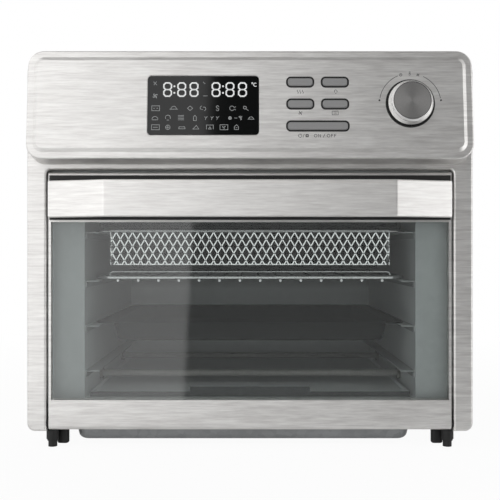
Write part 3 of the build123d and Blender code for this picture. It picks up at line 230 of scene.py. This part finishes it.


# Feet, hinge covers, gland, bushes and button surrounds are black moulded plastic; the handle back plate gets
# the same black, which keeps the bands above and below the handle dark.
# The mould is spark eroded, which leaves a fine even grain and a soft sheen.
def moulded_plastic(name, dark, light, rough, grain_mm):
    """Moulded plastic: even grain noise moves the surface a few hundredths of a millimetre."""
    material, tree, output = new_material(name)
    grain = clouds(tree, 1000.0 / grain_mm, 2.0)
    bump = add_node(tree, "ShaderNodeBump", {"Strength": 0.2, "Distance": 0.00004}, {"Height": grain})
    surfaced(tree, output, {"Roughness": rough, "IOR": 1.5},
             {"Base Color": toned(tree, grain, dark, light), "Normal": bump.outputs["Normal"]})
    return material


black_plastic = moulded_plastic("black_moulded_plastic", "#070707", "#101010", 0.55, 0.7)
dress(black_plastic, "front_left_foot", "front_right_foot", "rear_left_foot", "rear_right_foot",
      "hinge_covers", "handle_backplate", "cord_gland", "hinge_bushes", "button_surrounds", "knob_bezel",
      "encoder_body", "display_module")
board_green = moulded_plastic("circuit_board_laminate", "#1C4A30", "#276040", 0.4, 1.2)
dress(board_green, "control_board", "power_board")
button_silver = moulded_plastic("silver_lacquered_button", "#7E7E7E", "#8A8A8A", 0.38, 0.6)
dress(button_silver, "preheat_button", "light_button", "air_fry_button", "bake_button", "start_button")


# Screws, pins, shafts, the probe and the motor shell are turned or drawn steel with bright zinc.
# The turning leaves faint rings, so the sheen is soft.
plain_steel = coated_sheet("zinc_plated_steel", "#9C9C9A", "#B2B2B0", 0.32, 1.5, 1.0)
dress(plain_steel, "casing_screws", "hinge_pins", "encoder_shaft", "fan_shaft", "temperature_probe",
      "fan_motor")
fan_sheet = coated_sheet("stamped_aluminium", "#A8AAAB", "#B9BBBC", 0.36, 4.0, 1.0)
dress(fan_sheet, "fan_blade")


# Heater tubes are steel filled with packed powder. In use they oxidise, and the hotter upper pair is
# nearly black. Their ends sit in unglazed ceramic insulators, stained by smoke.
oxidised_tube = coated_sheet("oxidised_heater_tube", "#8E8C88", "#9A9894", 0.55, 3.0, 0.2,
                             fade=("#232221", "Z", 0.1, 0.18))
dress(oxidised_tube, "upper_heaters", "lower_heaters")
bisque = moulded_plastic("heat_stained_ceramic", "#77746D", "#86837B", 0.7, 0.9)
dress(bisque, "heater_insulators")


# The door pane is tempered soda-lime glass with a light grey-green body tint.
# Its faces are fire polished, so reflections stay sharp.
glass, tree, output = new_material("tempered_door_glass")
tint = toned(tree, clouds(tree, 9.0, 1.0), "#EEF2F1", "#F1F5F4")
surfaced(tree, output, {"Roughness": 0.0, "IOR": 1.5, "Transmission Weight": 1.0}, {"Base Color": tint})
dress(glass, "door_glass")


# The lamp behind its pressed glass lens is a small clear bulb in a steel socket.
# The lens is thick pressed glass, slightly wavy.
lamp_glass, tree, output = new_material("pressed_lamp_glass")
bump = add_node(tree, "ShaderNodeBump", {"Strength": 0.2, "Distance": 0.0003},
                {"Height": clouds(tree, 260.0, 1.0)})
surfaced(tree, output,
         {"Base Color": linear("#EDEBE2"), "Roughness": 0.05, "IOR": 1.5, "Transmission Weight": 1.0},
         {"Normal": bump.outputs["Normal"]})
dress(lamp_glass, "lamp_lens", "oven_lamp")


# The knob has a chromed skirt, bright and nearly clean, and a spun aluminium face.
# Turning tools leave rings round the face's axis, which pull the highlight into two fans.
knob_chrome, tree, output = new_material("knob_chrome")
wear = clouds(tree, 300.0, 3.0)
surfaced(tree, output, {"Metallic": 1.0},
         {"Base Color": toned(tree, wear, "#DADADA", "#E6E6E6"), "Roughness": dulled(tree, wear, 0.07, 0.13)})
dress(knob_chrome, "knob_skirt")
spun, tree, output = new_material("spun_aluminium_face")
turn = add_node(tree, "ShaderNodeTangent", {"direction_type": "RADIAL", "axis": "Y"})
surfaced(tree, output, {"Metallic": 1.0, "Roughness": 0.5, "Anisotropic": 0.4, "Anisotropic Rotation": 0.25},
         {"Base Color": toned(tree, clouds(tree, 900.0, 2.0), "#868584", "#949392"),
          "Tangent": turn.outputs["Tangent"]})
dress(spun, "knob_cap")


# The wire rack, the basket's rim and its net are chromed steel wire and sheet.
# Their colour stays bright at the front by the door, and farther in it turns to a dark brown that is painted
# shade of the oven's inside.
def chrome_with_painted_shade(name, dark, light, rough):
    """Chrome plate with a faint cloud in its tone and gloss, whose colour turns to a painted shade of dark
    brown behind the front edge:
    the change runs from lit_front_edge to painted_shade_edge, along the depth of the oven in metres."""
    lit_front_edge = -0.117
    painted_shade_edge = -0.085
    material, tree, output = new_material(name)
    cloud = clouds(tree, 300.0, 3.0)
    place = add_node(tree, "ShaderNodeTexCoord")
    depth = add_node(tree, "ShaderNodeSeparateXYZ", links={"Vector": place.outputs["Object"]})
    painted_shade_share = add_node(tree, "ShaderNodeMapRange", {"From Min": lit_front_edge, "From Max": painted_shade_edge},
                       {"Value": depth.outputs["Y"]})
    # Painted shade: this dark brown colour stands in for the shade deeper inside the oven.
    plate = add_node(tree, "ShaderNodeMix", {"data_type": "RGBA", 7: linear("#211F1C")},
                     {0: painted_shade_share.outputs["Result"], 6: toned(tree, cloud, dark, light)})
    surfaced(tree, output, {"Metallic": 1.0},
             {"Base Color": plate.outputs[2], "Roughness": dulled(tree, cloud, rough * 0.8, rough * 1.2)})
    return material


net_chrome = chrome_with_painted_shade("chromed_net", "#EEEEEE", "#F6F6F6", 0.11)
dress(net_chrome, "basket_mesh")
rack_chrome = chrome_with_painted_shade("chromed_wire", "#BCBCBC", "#C8C8C8", 0.2)
dress(rack_chrome, "wire_rack")
rim_chrome = chrome_with_painted_shade("dulled_rim_chrome", "#8C8C8C", "#989898", 0.25)
dress(rim_chrome, "basket_rim")


# The baking tray is deep-drawn steel under dark enamel.
# The enamel is fired matt, with a faint cloud in its tone.
enamel, tree, output = new_material("smooth_dark_enamel")
surfaced(tree, output, {"Roughness": 0.6, "Specular IOR Level": 0.0},
         {"Base Color": toned(tree, clouds(tree, 40.0, 2.0), "#1E1F1F", "#262727")})
dress(enamel, "baking_tray")


# The display window is black polycarbonate, hard coated and glossy.
# Its figures and small signs are lit from behind through clear gaps in the black.
display_black, tree, output = new_material("hard_coated_black_window")
surfaced(tree, output, {"Base Color": linear("#0B0C0C"), "IOR": 1.38},
         {"Roughness": dulled(tree, clouds(tree, 60.0, 2.0), 0.04, 0.08)})
dress(display_black, "display_window")

panel_lean = math.radians(6.0)
panel_projection = 0.015
panel_middle_height = 0.30435
panel_middle = np.array([0.0, bezel_front - panel_projection, panel_middle_height])
panel_right = np.array([1.0, 0.0, 0.0])
panel_up = np.array([0.0, math.sin(panel_lean), math.cos(panel_lean)])
panel_out = np.array([0.0, -math.cos(panel_lean), math.sin(panel_lean)])


def bar_along(points, width, height, closed=False):
    """A flat bar carried along a line of points: at each point its section, width across and height up,
    stands on the mitre of the two runs that meet there. Gives corners (across, up the line's plane, height)
    and four-cornered faces, with both ends shut when the line is open."""
    line = np.asarray(points, float)
    ahead = np.roll(line, -1, 0) - line
    behind = line - np.roll(line, 1, 0)
    if not closed:
        ahead[-1] = behind[-1]
        behind[0] = ahead[0]
    ahead /= np.linalg.norm(ahead, axis=1, keepdims=True)
    behind /= np.linalg.norm(behind, axis=1, keepdims=True)
    along = ahead + behind
    along /= np.linalg.norm(along, axis=1, keepdims=True)
    across = np.stack([-along[:, 1], along[:, 0]], 1)
    square = np.stack([-ahead[:, 1], ahead[:, 0]], 1)
    reach = width / 2 / np.maximum(0.4, (across * square).sum(1, keepdims=True))
    left = line + across * reach
    right = line - across * reach
    floor = np.zeros((len(line), 1))
    corners = np.stack([np.hstack([left, floor]), np.hstack([right, floor]),
                        np.hstack([right, floor + height]), np.hstack([left, floor + height])], 1)
    here = np.arange(len(line) if closed else len(line) - 1)[:, None] * 4
    there = (here + 4) % (4 * len(line))
    one = np.array([0, 1, 2, 3])[None, :]
    two = np.array([1, 2, 3, 0])[None, :]
    faces = np.stack([here + one, there + one, there + two, here + two], 2).reshape(-1, 4)
    if not closed:
        last = 4 * (len(line) - 1)
        faces = np.vstack([faces, [[0, 1, 2, 3]], [[last + 3, last + 2, last + 1, last]]])
    return corners.reshape(-1, 3), faces


def put_together(name, bars, origin, right, up, out, material):
    """Joins bars into one mesh and sets it on a plane: place = origin + a right + b up + c out, all in mm."""
    counts = np.cumsum([0] + [len(corners) for corners, _ in bars])
    corners = np.vstack([corners for corners, _ in bars]) / 1000.0
    faces = np.vstack([faces + start for (_, faces), start in zip(bars, counts)])
    places = origin + corners[:, :1] * right + corners[:, 1:2] * up + corners[:, 2:] * out
    mesh = bpy.data.meshes.new(name)
    mesh.from_pydata(places.tolist(), [], faces.tolist())
    mesh.materials.append(material)
    piece = bpy.data.objects.new(name, mesh)
    scene.collection.objects.link(piece)
    return piece


def ring(middle, radius, start=0.0, end=360.0, count=28):
    """Points on an arc, start and end in degrees from the right, turning left."""
    angle = np.radians(np.linspace(start, end, count))
    return np.stack([middle[0] + radius * np.cos(angle), middle[1] + radius * np.sin(angle)], 1)


def figure_eight(left, bottom, width, height, thick, cut):
    """All seven lit bars of one figure: an upper and a lower loop with cut corners."""
    bars = []
    for low in (bottom, bottom + height / 2):
        high = low + height / 2
        loop = [(left + cut, low), (left + width - cut, low), (left + width, low + cut),
                (left + width, high - cut), (left + width - cut, high), (left + cut, high),
                (left, high - cut), (left, low + cut)]
        bars.append(bar_along(loop, thick, lit_height, closed=True))
    return bars


def backlit(name, dark, light, strength):
    """Milky ink over a lamp: a slightly uneven pale tone that also glows."""
    material, tree, output = new_material(name)
    tone = toned(tree, clouds(tree, 120.0, 1.0), dark, light)
    surfaced(tree, output, {"Roughness": 0.4, "Emission Strength": strength},
             {"Base Color": tone, "Emission Color": tone})
    return material


# Places on the panel are in millimetres, across and up from its middle.
lit_white = backlit("backlit_figures", "#C8C9C9", "#DADBDB", 0.25)
lit_height = 0.05
figure_bottom = 6.9
figure_width = 6.6
figure_height = 11.9
figure_bar = 1.25
figure_corner = 1.6
figure_lines = []
for left in (-75.3, -63.0, -52.2, -33.0, -20.8, -9.9):
    figure_lines += figure_eight(left, figure_bottom, figure_width, figure_height, figure_bar, figure_corner)
for across in (-66.1, -23.6):
    for high in (9.9, 15.8):
        dot = ring((across, high), 0.45, 0.0, 324.0, 10)
        figure_lines.append(bar_along(dot, 0.8, lit_height, closed=True))
degree_ring = ring((2.0, 18.6), 0.6, 0.0, 330.0, 12)
degree_bow = ring((4.7, 17.2), 1.5, 50.0, 310.0, 16)
figure_lines.append(bar_along(degree_ring, 0.45, lit_height, closed=True))
figure_lines.append(bar_along(degree_bow, 0.6, lit_height))
window_stand = 0.00126
window_face = panel_middle + panel_out * window_stand
figures = put_together("display_figures", figure_lines, window_face, panel_right, panel_up, panel_out,
                       lit_white)
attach(figures, "casing")

dim_white = backlit("backlit_small_signs", "#868888", "#989A9A", 0.1)
sign_lines = []


def sign(middle, lines, thick=0.45):
    """Adds one small sign: lines of points about its middle, each with a mark that says if it closes."""
    for points, closed in lines:
        sign_lines.append(bar_along(np.asarray(points, float) + middle, thick, lit_height, closed))


def wave(low, across, height, bends):
    """Points of a rising sine line that starts at low."""
    rise = np.linspace(0.0, 1.0, 14)
    return np.stack([low[0] + across * np.sin(rise * bends * math.pi), low[1] + rise * height], 1)


def vanes(radius, count):
    """Curved blades of a fan, each a quarter arc from the middle outwards."""
    lines = []
    for step in range(count):
        turn = 2 * math.pi * step / count
        arc = ring((radius / 2, 0.0), radius / 2, 180.0, 40.0, 8)
        spin = np.array([[math.cos(turn), -math.sin(turn)], [math.sin(turn), math.cos(turn)]])
        lines.append((arc @ spin.T, False))
    return lines


upper_row = -3.9
middle_row = -12.6
lower_row = -20.8
box_lines = [([(-3.4, -2.2), (3.4, -2.2), (3.4, 2.2), (-3.4, 2.2)], True)]
sign((-82.9, 18.4), [([(-1.2, -1.6), (1.2, 1.6)], False), ([(-1.4, 1.4), (1.4, -1.4)], False)])
sign((-82.9, 7.2), vanes(2.3, 4), 0.7)
sign((-40.2, 18.4), [([(-1.0, 1.4), (1.0, -0.4)], False)])
sign((-39.0, 7.2), [([(-2.0, 0.0), (2.0, 0.0)], False)])
sign((-82.3, upper_row), box_lines + [([(-2.0, 0.0), (-0.8, 0.0)], False), ([(0.8, 0.0), (2.0, 0.0)], False)])
sign((-66.5, upper_row), [(ring((0.0, -0.6), 2.4, 0.0, 180.0, 14), False),
                          ([(-3.6, -0.8), (3.6, -0.8)], False)])
sign((-52.3, upper_row), [([(-2.4, 0.0), (0.0, 2.0), (2.4, 0.0), (0.0, -2.0)], True)])
sign((-41.0, upper_row), [(ring((-0.9, 0.5), 1.6, 90.0, 300.0, 12), False),
                          (ring((0.9, -0.5), 1.6, -90.0, 120.0, 12), False)])
sign((-28.3, upper_row), [(ring((0.0, 1.1), 1.1, 0.0, 270.0, 12), False),
                          (ring((0.0, -1.1), 1.1, 180.0, 450.0, 12), False)])
sign((-15.7, upper_row), [(ring((0.0, 0.0), 2.0, 20.0, 340.0, 18), False), ([(2.0, 0.6), (3.2, 1.5)], False),
                          ([(2.0, -0.6), (3.2, -1.5)], False)])
sign((-3.5, upper_row), [(ring((-1.0, 0.6), 1.3, 0.0, 324.0, 10), True), ([(0.0, -0.4), (2.2, -2.2)], False)])
sign((-82.8, middle_row), [(ring((0.0, -1.2), 2.6, 0.0, 180.0, 14), False),
                           ([(-2.6, -1.6), (2.6, -1.6)], False)])
sign((-71.5, middle_row), [(ring((0.0, 0.4), 2.2, -30.0, 210.0, 14), False),
                           ([(-1.0, -1.8), (1.0, -1.8)], False)])
sign((-60.2, middle_row), [([(-2.6, high), (2.6, high)], False) for high in (-1.6, -0.3, 1.0, 2.3)])
sign((-48.0, middle_row), [([(-1.2, -2.2), (1.2, -2.2), (1.2, 1.0), (0.0, 2.4), (-1.2, 1.0)], True)])
for across in (-38.4, -33.1, -28.3):
    sign((across, middle_row), [([(-1.2, 1.3), (0.0, 0.0), (1.3, 1.5)], False),
                                ([(0.0, 0.0), (-0.6, -1.6)], False)])
sign((-17.4, middle_row), [(ring((0.0, 0.0), 1.0, 0.0, 324.0, 10), True)], 1.0)
sign((-12.4, middle_row), [([(-1.2, 0.0), (1.2, 0.0)], False)])
sign((-8.3, middle_row), [(wave((0.0, -1.8), 0.7, 3.6, 2), False),
                          ([(-1.4, 1.4), (0.0, 0.2), (1.4, 1.4)], False)], 0.7)
sign((0.9, middle_row), [(ring((0.0, -0.9), 2.0, 0.0, 180.0, 14), False),
                         ([(-2.8, -1.0), (2.8, -1.0)], False)])
sign((-82.3, lower_row), box_lines + [([(-2.0, 0.0), (2.0, 0.0)], False)])
sign((-71.5, lower_row), [(ring((0.0, 0.0), 2.0, 0.0, 340.0, 18), True), ([(0.0, -2.0), (0.0, 2.0)], False),
                          ([(-2.0, 0.0), (2.0, 0.0)], False)])
sign((-59.3, lower_row), [([(-2.8, -1.4), (2.8, -1.4), (2.4, 0.4), (-2.4, 0.4)], True)])
sign((-47.1, lower_row), [([(-2.6, -1.6), (2.6, -1.6), (0.4, 1.6)], True)])
sign((-34.9, lower_row), [([(-3.0, -1.8), (-3.0, 2.0), (3.0, 2.0), (3.0, -1.8)], False),
                          ([(-1.2, -1.6), (0.0, 0.4), (1.2, -1.6)], True)])
sign((-22.7, lower_row), box_lines + vanes(1.6, 3))
sign((-11.8, lower_row), [([(-1.8, -2.0), (1.8, -2.0), (1.8, 0.6), (0.0, 2.2), (-1.8, 0.6)], True),
                          ([(-0.8, -0.4), (0.8, -0.4)], False)])
signs = put_together("display_signs", sign_lines, window_face, panel_right, panel_up, panel_out, dim_white)
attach(signs, "casing")


# Plain signs by the buttons and the arc round the knob are screen printed in dark grey ink.
# They say nothing but heat, light, fan, oven, on and off, less and more.
ink, tree, output = new_material("screen_printed_ink")
surfaced(tree, output, {"Roughness": 0.5},
         {"Base Color": toned(tree, clouds(tree, 1500.0, 1.0), "#2A2A2A", "#3A3A3A")})

ink_height = 0.03
print_lines = []


def printed(middle, lines, thick=0.4):
    """Adds one printed sign about its middle, as the display's signs are made."""
    for points, closed in lines:
        print_lines.append(bar_along(np.asarray(points, float) + middle, thick, ink_height, closed))


preheat_row = 10.7
bake_row = -8.2
start_row = -28.4
printed((43.9, preheat_row), [(wave((across, -1.6), 0.5, 3.2, 2), False) for across in (-2.2, 0.0, 2.2)])
printed((74.9, preheat_row), [(ring((0.0, 0.5), 1.2, -50.0, 230.0, 16), False),
                              ([(-0.6, -1.4), (0.6, -1.4)], False)])
printed((43.9, bake_row), vanes(1.9, 4), 0.5)
printed((74.2, bake_row), [([(-2.6, -1.7), (2.6, -1.7), (2.6, 1.7), (-2.6, 1.7)], True),
                           ([(-1.5, 0.8), (1.5, 0.8)], False), ([(-1.5, -0.8), (1.5, -0.8)], False)])
printed((43.6, start_row), [(ring((0.0, 0.0), 1.5, 120.0, 420.0, 20), False),
                            ([(0.0, 0.4), (0.0, 2.0)], False)])
printed((49.6, start_row), [([(-0.9, -0.9), (0.9, -0.9), (0.9, 0.9), (-0.9, 0.9)], True)], 0.8)
printed((46.6, start_row), [([(-0.6, -1.6), (0.6, 1.6)], False)])
letter_o = [(ring((0.0, 0.0), 1.25, 0.0, 345.0, 20), True)]
letter_n = [([(-0.9, -1.3), (-0.9, 1.3), (0.9, -1.3), (0.9, 1.3)], False)]
letter_f = [([(-0.7, -1.4), (-0.7, 1.25), (0.9, 1.25)], False), ([(-0.7, 0.1), (0.6, 0.1)], False)]
letters = ((57.0, letter_o), (60.4, letter_n), (68.2, letter_o), (71.4, letter_f), (74.0, letter_f))
for across, letter in letters:
    printed((across, start_row), letter)
printed((64.4, start_row), [([(-0.8, -1.6), (0.8, 1.6)], False)])
knob_place = (139.8, 0.3)
for start, end in ((113.0, 170.0), (10.0, 64.0)):
    print_lines.append(bar_along(ring(knob_place, 26.8, start, end, 40), 0.45, ink_height))
for turn in (6.0, 174.0):
    end = ring(knob_place, 27.0, turn, turn, 1)[0]
    printed(end, [(ring((0.0, 0.0), 0.45, 0.0, 324.0, 10), True)], 0.8)
printed((131.9, 25.9), [(ring((0.0, 0.0), 1.2, 0.0, 345.0, 18), True),
                        ([(0.0, 0.8), (0.0, 0.0), (0.6, 0.0)], False)], 0.35)
printed((139.8, 27.4), [([(-0.4, 1.6), (-0.4, -0.6)], False), ([(0.4, 1.6), (0.4, -0.6)], False),
                        (ring((0.0, -1.2), 0.7, 0.0, 330.0, 12), True)], 0.35)
printed((147.0, 25.9), vanes(1.5, 4), 0.45)
field_stand = 0.00176
field_face = panel_middle + panel_out * field_stand
prints = put_together("printed_signs", print_lines, field_face, panel_right, panel_up, panel_out, ink)
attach(prints, "casing")


# The air-fry basket's walls and floor are expanded metal: a slit sheet pulled open into diamonds.
# Each strand is one millimetre square, and short flat feet join the strands along the lower edge.
def diamond_wall(width, height, pitch, step, strand):
    """Two families of straight strands cross a wall of width and height: a = a0 + b pitch / step and its
    mirror, cut off at the wall's sides. A short bar joins each pair of feet. Gives bars in the wall's
    plane."""
    shortest = 1.5
    bars = []
    lean = pitch / step
    foot = pitch * 0.18
    foot_thick = strand * 0.6
    first = -height * lean - width / 2
    starts = np.arange(math.floor(first / pitch) * pitch, width / 2 + pitch, pitch) + foot
    for direction in (1.0, -1.0):
        for start in starts:
            low = max(0.0, (-width / 2 - start) / lean)
            high = min(height, (width / 2 - start) / lean)
            if high - low > shortest:
                ends = [(direction * (start + rise * lean), rise) for rise in (low, high)]
                bars.append(bar_along(ends, strand, strand))
    for middle in starts - foot:
        if abs(middle) + foot < width / 2:
            ends = [(middle - foot, foot_thick / 2), (middle + foot, foot_thick / 2)]
            bars.append(bar_along(ends, foot_thick, strand))
    return bars


net_low, net_high = (np.array(corner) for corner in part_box("basket_mesh"))
net_width = (net_high[0] - net_low[0]) * 1000.0
net_length = (net_high[1] - net_low[1]) * 1000.0
net_height = (net_high[2] - net_low[2]) * 1000.0
net_middle = (net_low + net_high) / 2
east, north, high = np.eye(3)
strand = 1.0
diamond_pitch = 7.6
diamond_step = 13.2
inset = strand / 1000.0
walls = (
    ("basket_net_front", net_width, (net_middle[0], net_low[1] + inset, net_low[2]), east, high, -north),
    ("basket_net_back", net_width, (net_middle[0], net_high[1] - inset, net_low[2]), -east, high, north),
    ("basket_net_left", net_length, (net_low[0] + inset, net_middle[1], net_low[2]), -north, high, -east),
    ("basket_net_right", net_length, (net_high[0] - inset, net_middle[1], net_low[2]), north, high, east),
)
net_pieces = []
for name, width, origin, right, up, out in walls:
    bars = diamond_wall(width - 2 * strand, net_height, diamond_pitch, diamond_step, strand)
    net_pieces.append(put_together(name, bars, np.array(origin), right, up, out, net_chrome))
floor_bars = diamond_wall(net_width - 2 * strand, net_length - 2 * strand, diamond_pitch, diamond_step,
                          strand)
floor_origin = np.array([net_middle[0], net_low[1] + inset, net_low[2]])
net_pieces.append(put_together("basket_net_floor", floor_bars, floor_origin, east, north, high, net_chrome))
for piece in net_pieces:
    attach(piece, "basket")
    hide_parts("basket_mesh")


# The rack has a thin stop wire over its front bar, which keeps dishes from sliding off.
# It is chromed like the rest, and both ends are turned down and welded to the bar.
rack_low, rack_high = (np.array(corner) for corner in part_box("wire_rack"))
stop_half = 0.131
stop_foot = rack_high[2] - 0.002
stop_top = rack_high[2] + 0.0034
stop_depth = rack_low[1] + 0.002
stop_radius = 0.0006
stop_sides = 12
bend_radius = 0.003
bend = np.radians(np.linspace(180.0, 90.0, 7))
turned = np.stack([bend_radius * np.cos(bend) + bend_radius - stop_half,
                   bend_radius * np.sin(bend) + stop_top - bend_radius], 1)
half_line = np.vstack([[(-stop_half, stop_foot)], turned])
stop_line = np.vstack([half_line, half_line[::-1] * (-1.0, 1.0)])


def upright_wire(name, line, depth, radius, sides, material):
    """A round wire bent in an upright plane: about each point p of the line the skin is
    p + radius (cos a along Y + sin a square to the run), with a flat disc on both ends."""
    run = np.gradient(line, axis=0)
    run /= np.linalg.norm(run, axis=1, keepdims=True)
    square = np.stack([-run[:, 1], run[:, 0]], 1)
    angle = np.linspace(0.0, 2 * math.pi, sides, endpoint=False)
    flat = line[:, None, :] + radius * np.sin(angle)[None, :, None] * square[:, None, :]
    away = np.broadcast_to(depth + radius * np.cos(angle), flat.shape[:2])
    places = np.stack([flat[..., 0], away, flat[..., 1]], 2).reshape(-1, 3)
    here = np.arange(len(line) - 1)[:, None] * sides + np.arange(sides)[None, :]
    beside = np.arange(len(line) - 1)[:, None] * sides + (np.arange(sides)[None, :] + 1) % sides
    skin = np.stack([here, beside, beside + sides, here + sides], 2).reshape(-1, 4)
    faces = skin.tolist() + [list(range(sides))[::-1], list(range(len(places) - sides, len(places)))]
    mesh = bpy.data.meshes.new(name)
    mesh.from_pydata(places.tolist(), [], faces)
    mesh.polygons.foreach_set("use_smooth", np.append(np.ones(len(skin), bool), [False, False]))
    mesh.materials.append(material)
    piece = bpy.data.objects.new(name, mesh)
    scene.collection.objects.link(piece)
    return piece


stop = upright_wire("rack_stop_wire", stop_line, stop_depth, stop_radius, stop_sides, rack_chrome)
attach(stop, "rack")


# The table is a plain pale sheet that keeps the oven's soft shadow.
# The camera sees it white. Metal and glass see it at less than half of that, so undersides stay grey.
table_reach = 6.0
table_front = -0.32
mirrored_share = 0.4
table_paint, tree, output = new_material("pale_table_paint")
ray = add_node(tree, "ShaderNodeLightPath")
mirrored = add_node(tree, "ShaderNodeMath", {"operation": "MAXIMUM"},
                    {0: ray.outputs["Is Glossy Ray"], 1: ray.outputs["Is Transmission Ray"]})
dimmed = add_node(tree, "ShaderNodeMath", {"operation": "MULTIPLY", 1: mirrored_share},
                  {0: mirrored.outputs[0]})
seen = add_node(tree, "ShaderNodeMath", {"operation": "MAXIMUM"},
                {0: ray.outputs["Is Camera Ray"], 1: dimmed.outputs[0]})
place = add_node(tree, "ShaderNodeTexCoord")
away = add_node(tree, "ShaderNodeVectorMath", {"operation": "LENGTH"}, {0: place.outputs["Object"]})
fade = add_node(tree, "ShaderNodeMapRange",
                {"From Min": 0.3, "From Max": 0.9, "To Min": 0.95, "To Max": 1.0},
                {"Value": away.outputs["Value"]})
share = add_node(tree, "ShaderNodeMath", {"operation": "MULTIPLY"},
                 {0: seen.outputs[0], 1: fade.outputs["Result"]})
matt = add_node(tree, "ShaderNodeBsdfDiffuse", {"Color": linear("#EDEDED")})
white = add_node(tree, "ShaderNodeEmission", {"Color": (1.0, 1.0, 1.0, 1.0), "Strength": 1.0})
blend = add_node(tree, "ShaderNodeMixShader", links={"Fac": share.outputs[0], 1: matt.outputs["BSDF"],
                                                     2: white.outputs["Emission"]})
tree.links.new(blend.outputs["Shader"], output.inputs["Surface"])
table_mesh = bpy.data.meshes.new("studio_table")
table_corners = [(-table_reach, table_front, 0.0), (table_reach, table_front, 0.0),
                 (table_reach, table_reach, 0.0), (-table_reach, table_reach, 0.0)]
table_mesh.from_pydata(table_corners, [], [(0, 1, 2, 3)])
table_mesh.materials.append(table_paint)
table = bpy.data.objects.new("studio_table", table_mesh)
scene.collection.objects.link(table)


# The studio is drawn in the world. White paper hangs behind the oven. In front stand white cards that dim to
# their far ends: a wide one at the left, a narrower, lower one at the right, and a dark gap for the camera.
# Bearings are in radians from straight ahead, and heights are the upward part of the direction.
world = bpy.data.worlds.new("studio")
scene.world = world
world.use_nodes = True
tree = world.node_tree
tree.nodes.clear()
output = add_node(tree, "ShaderNodeOutputWorld")
look = add_node(tree, "ShaderNodeTexCoord")
parts = add_node(tree, "ShaderNodeSeparateXYZ", links={"Vector": look.outputs["Generated"]})
front = add_node(tree, "ShaderNodeMath", {"operation": "MULTIPLY", 1: -1.0}, {0: parts.outputs["Y"]})
bearing = add_node(tree, "ShaderNodeMath", {"operation": "ARCTAN2"},
                   {0: parts.outputs["X"], 1: front.outputs[0]})


def ramp(source, start, end, low, high):
    """A level that goes from low to high while the source goes from start to end."""
    settings = {"From Min": start, "From Max": end, "To Min": low, "To Max": high}
    return add_node(tree, "ShaderNodeMapRange", settings, {"Value": source}).outputs["Result"]


def worked(operation, first, second):
    """One sum of two levels."""
    return add_node(tree, "ShaderNodeMath", {"operation": operation}, {0: first, 1: second}).outputs[0]


def mixed(share, first, level):
    """The first level, turned to a fixed one by the share."""
    return add_node(tree, "ShaderNodeMix", {"data_type": "FLOAT", 3: level}, {0: share, 2: first}).outputs[0]


gap_light = 0.08
left_light = 1.85
right_light = 2.3
paper_light = 1.0
ceiling_light = 0.12
slant = add_node(tree, "ShaderNodeMath", {"operation": "MULTIPLY", 1: -0.05}, {0: parts.outputs["Z"]})
edge = worked("ADD", bearing.outputs[0], slant.outputs[0])
left_card = worked("SUBTRACT", ramp(edge, -0.066, -0.074, gap_light, left_light),
                   ramp(bearing.outputs[0], -0.4, -0.7, 0.0, 0.6))
right_card = worked("SUBTRACT", ramp(bearing.outputs[0], 0.6, 0.8, 0.0, right_light),
                    ramp(bearing.outputs[0], 1.15, 1.4, 0.0, 1.4))
right_card = worked("MULTIPLY", right_card, ramp(parts.outputs["Z"], 0.17, 0.27, 1.0, 0.42))
cards = worked("ADD", left_card, right_card)
beyond = worked("MAXIMUM", ramp(parts.outputs["Z"], 0.75, 0.95, 0.0, 1.0),
                ramp(parts.outputs["Z"], -0.35, -0.6, 0.0, 0.6))
behind = ramp(parts.outputs["Y"], 0.1, 0.25, 0.0, 1.0)
around = mixed(beyond, mixed(behind, cards, paper_light), ceiling_light)
ray = add_node(tree, "ShaderNodeLightPath")
seen = worked("MAXIMUM", ray.outputs["Is Camera Ray"], ray.outputs["Is Transmission Ray"])
studio = add_node(tree, "ShaderNodeBackground", {"Color": (1.0, 1.0, 1.0, 1.0)},
                  {"Strength": mixed(seen, around, paper_light)})
tree.links.new(studio.outputs["Background"], output.inputs["Surface"])
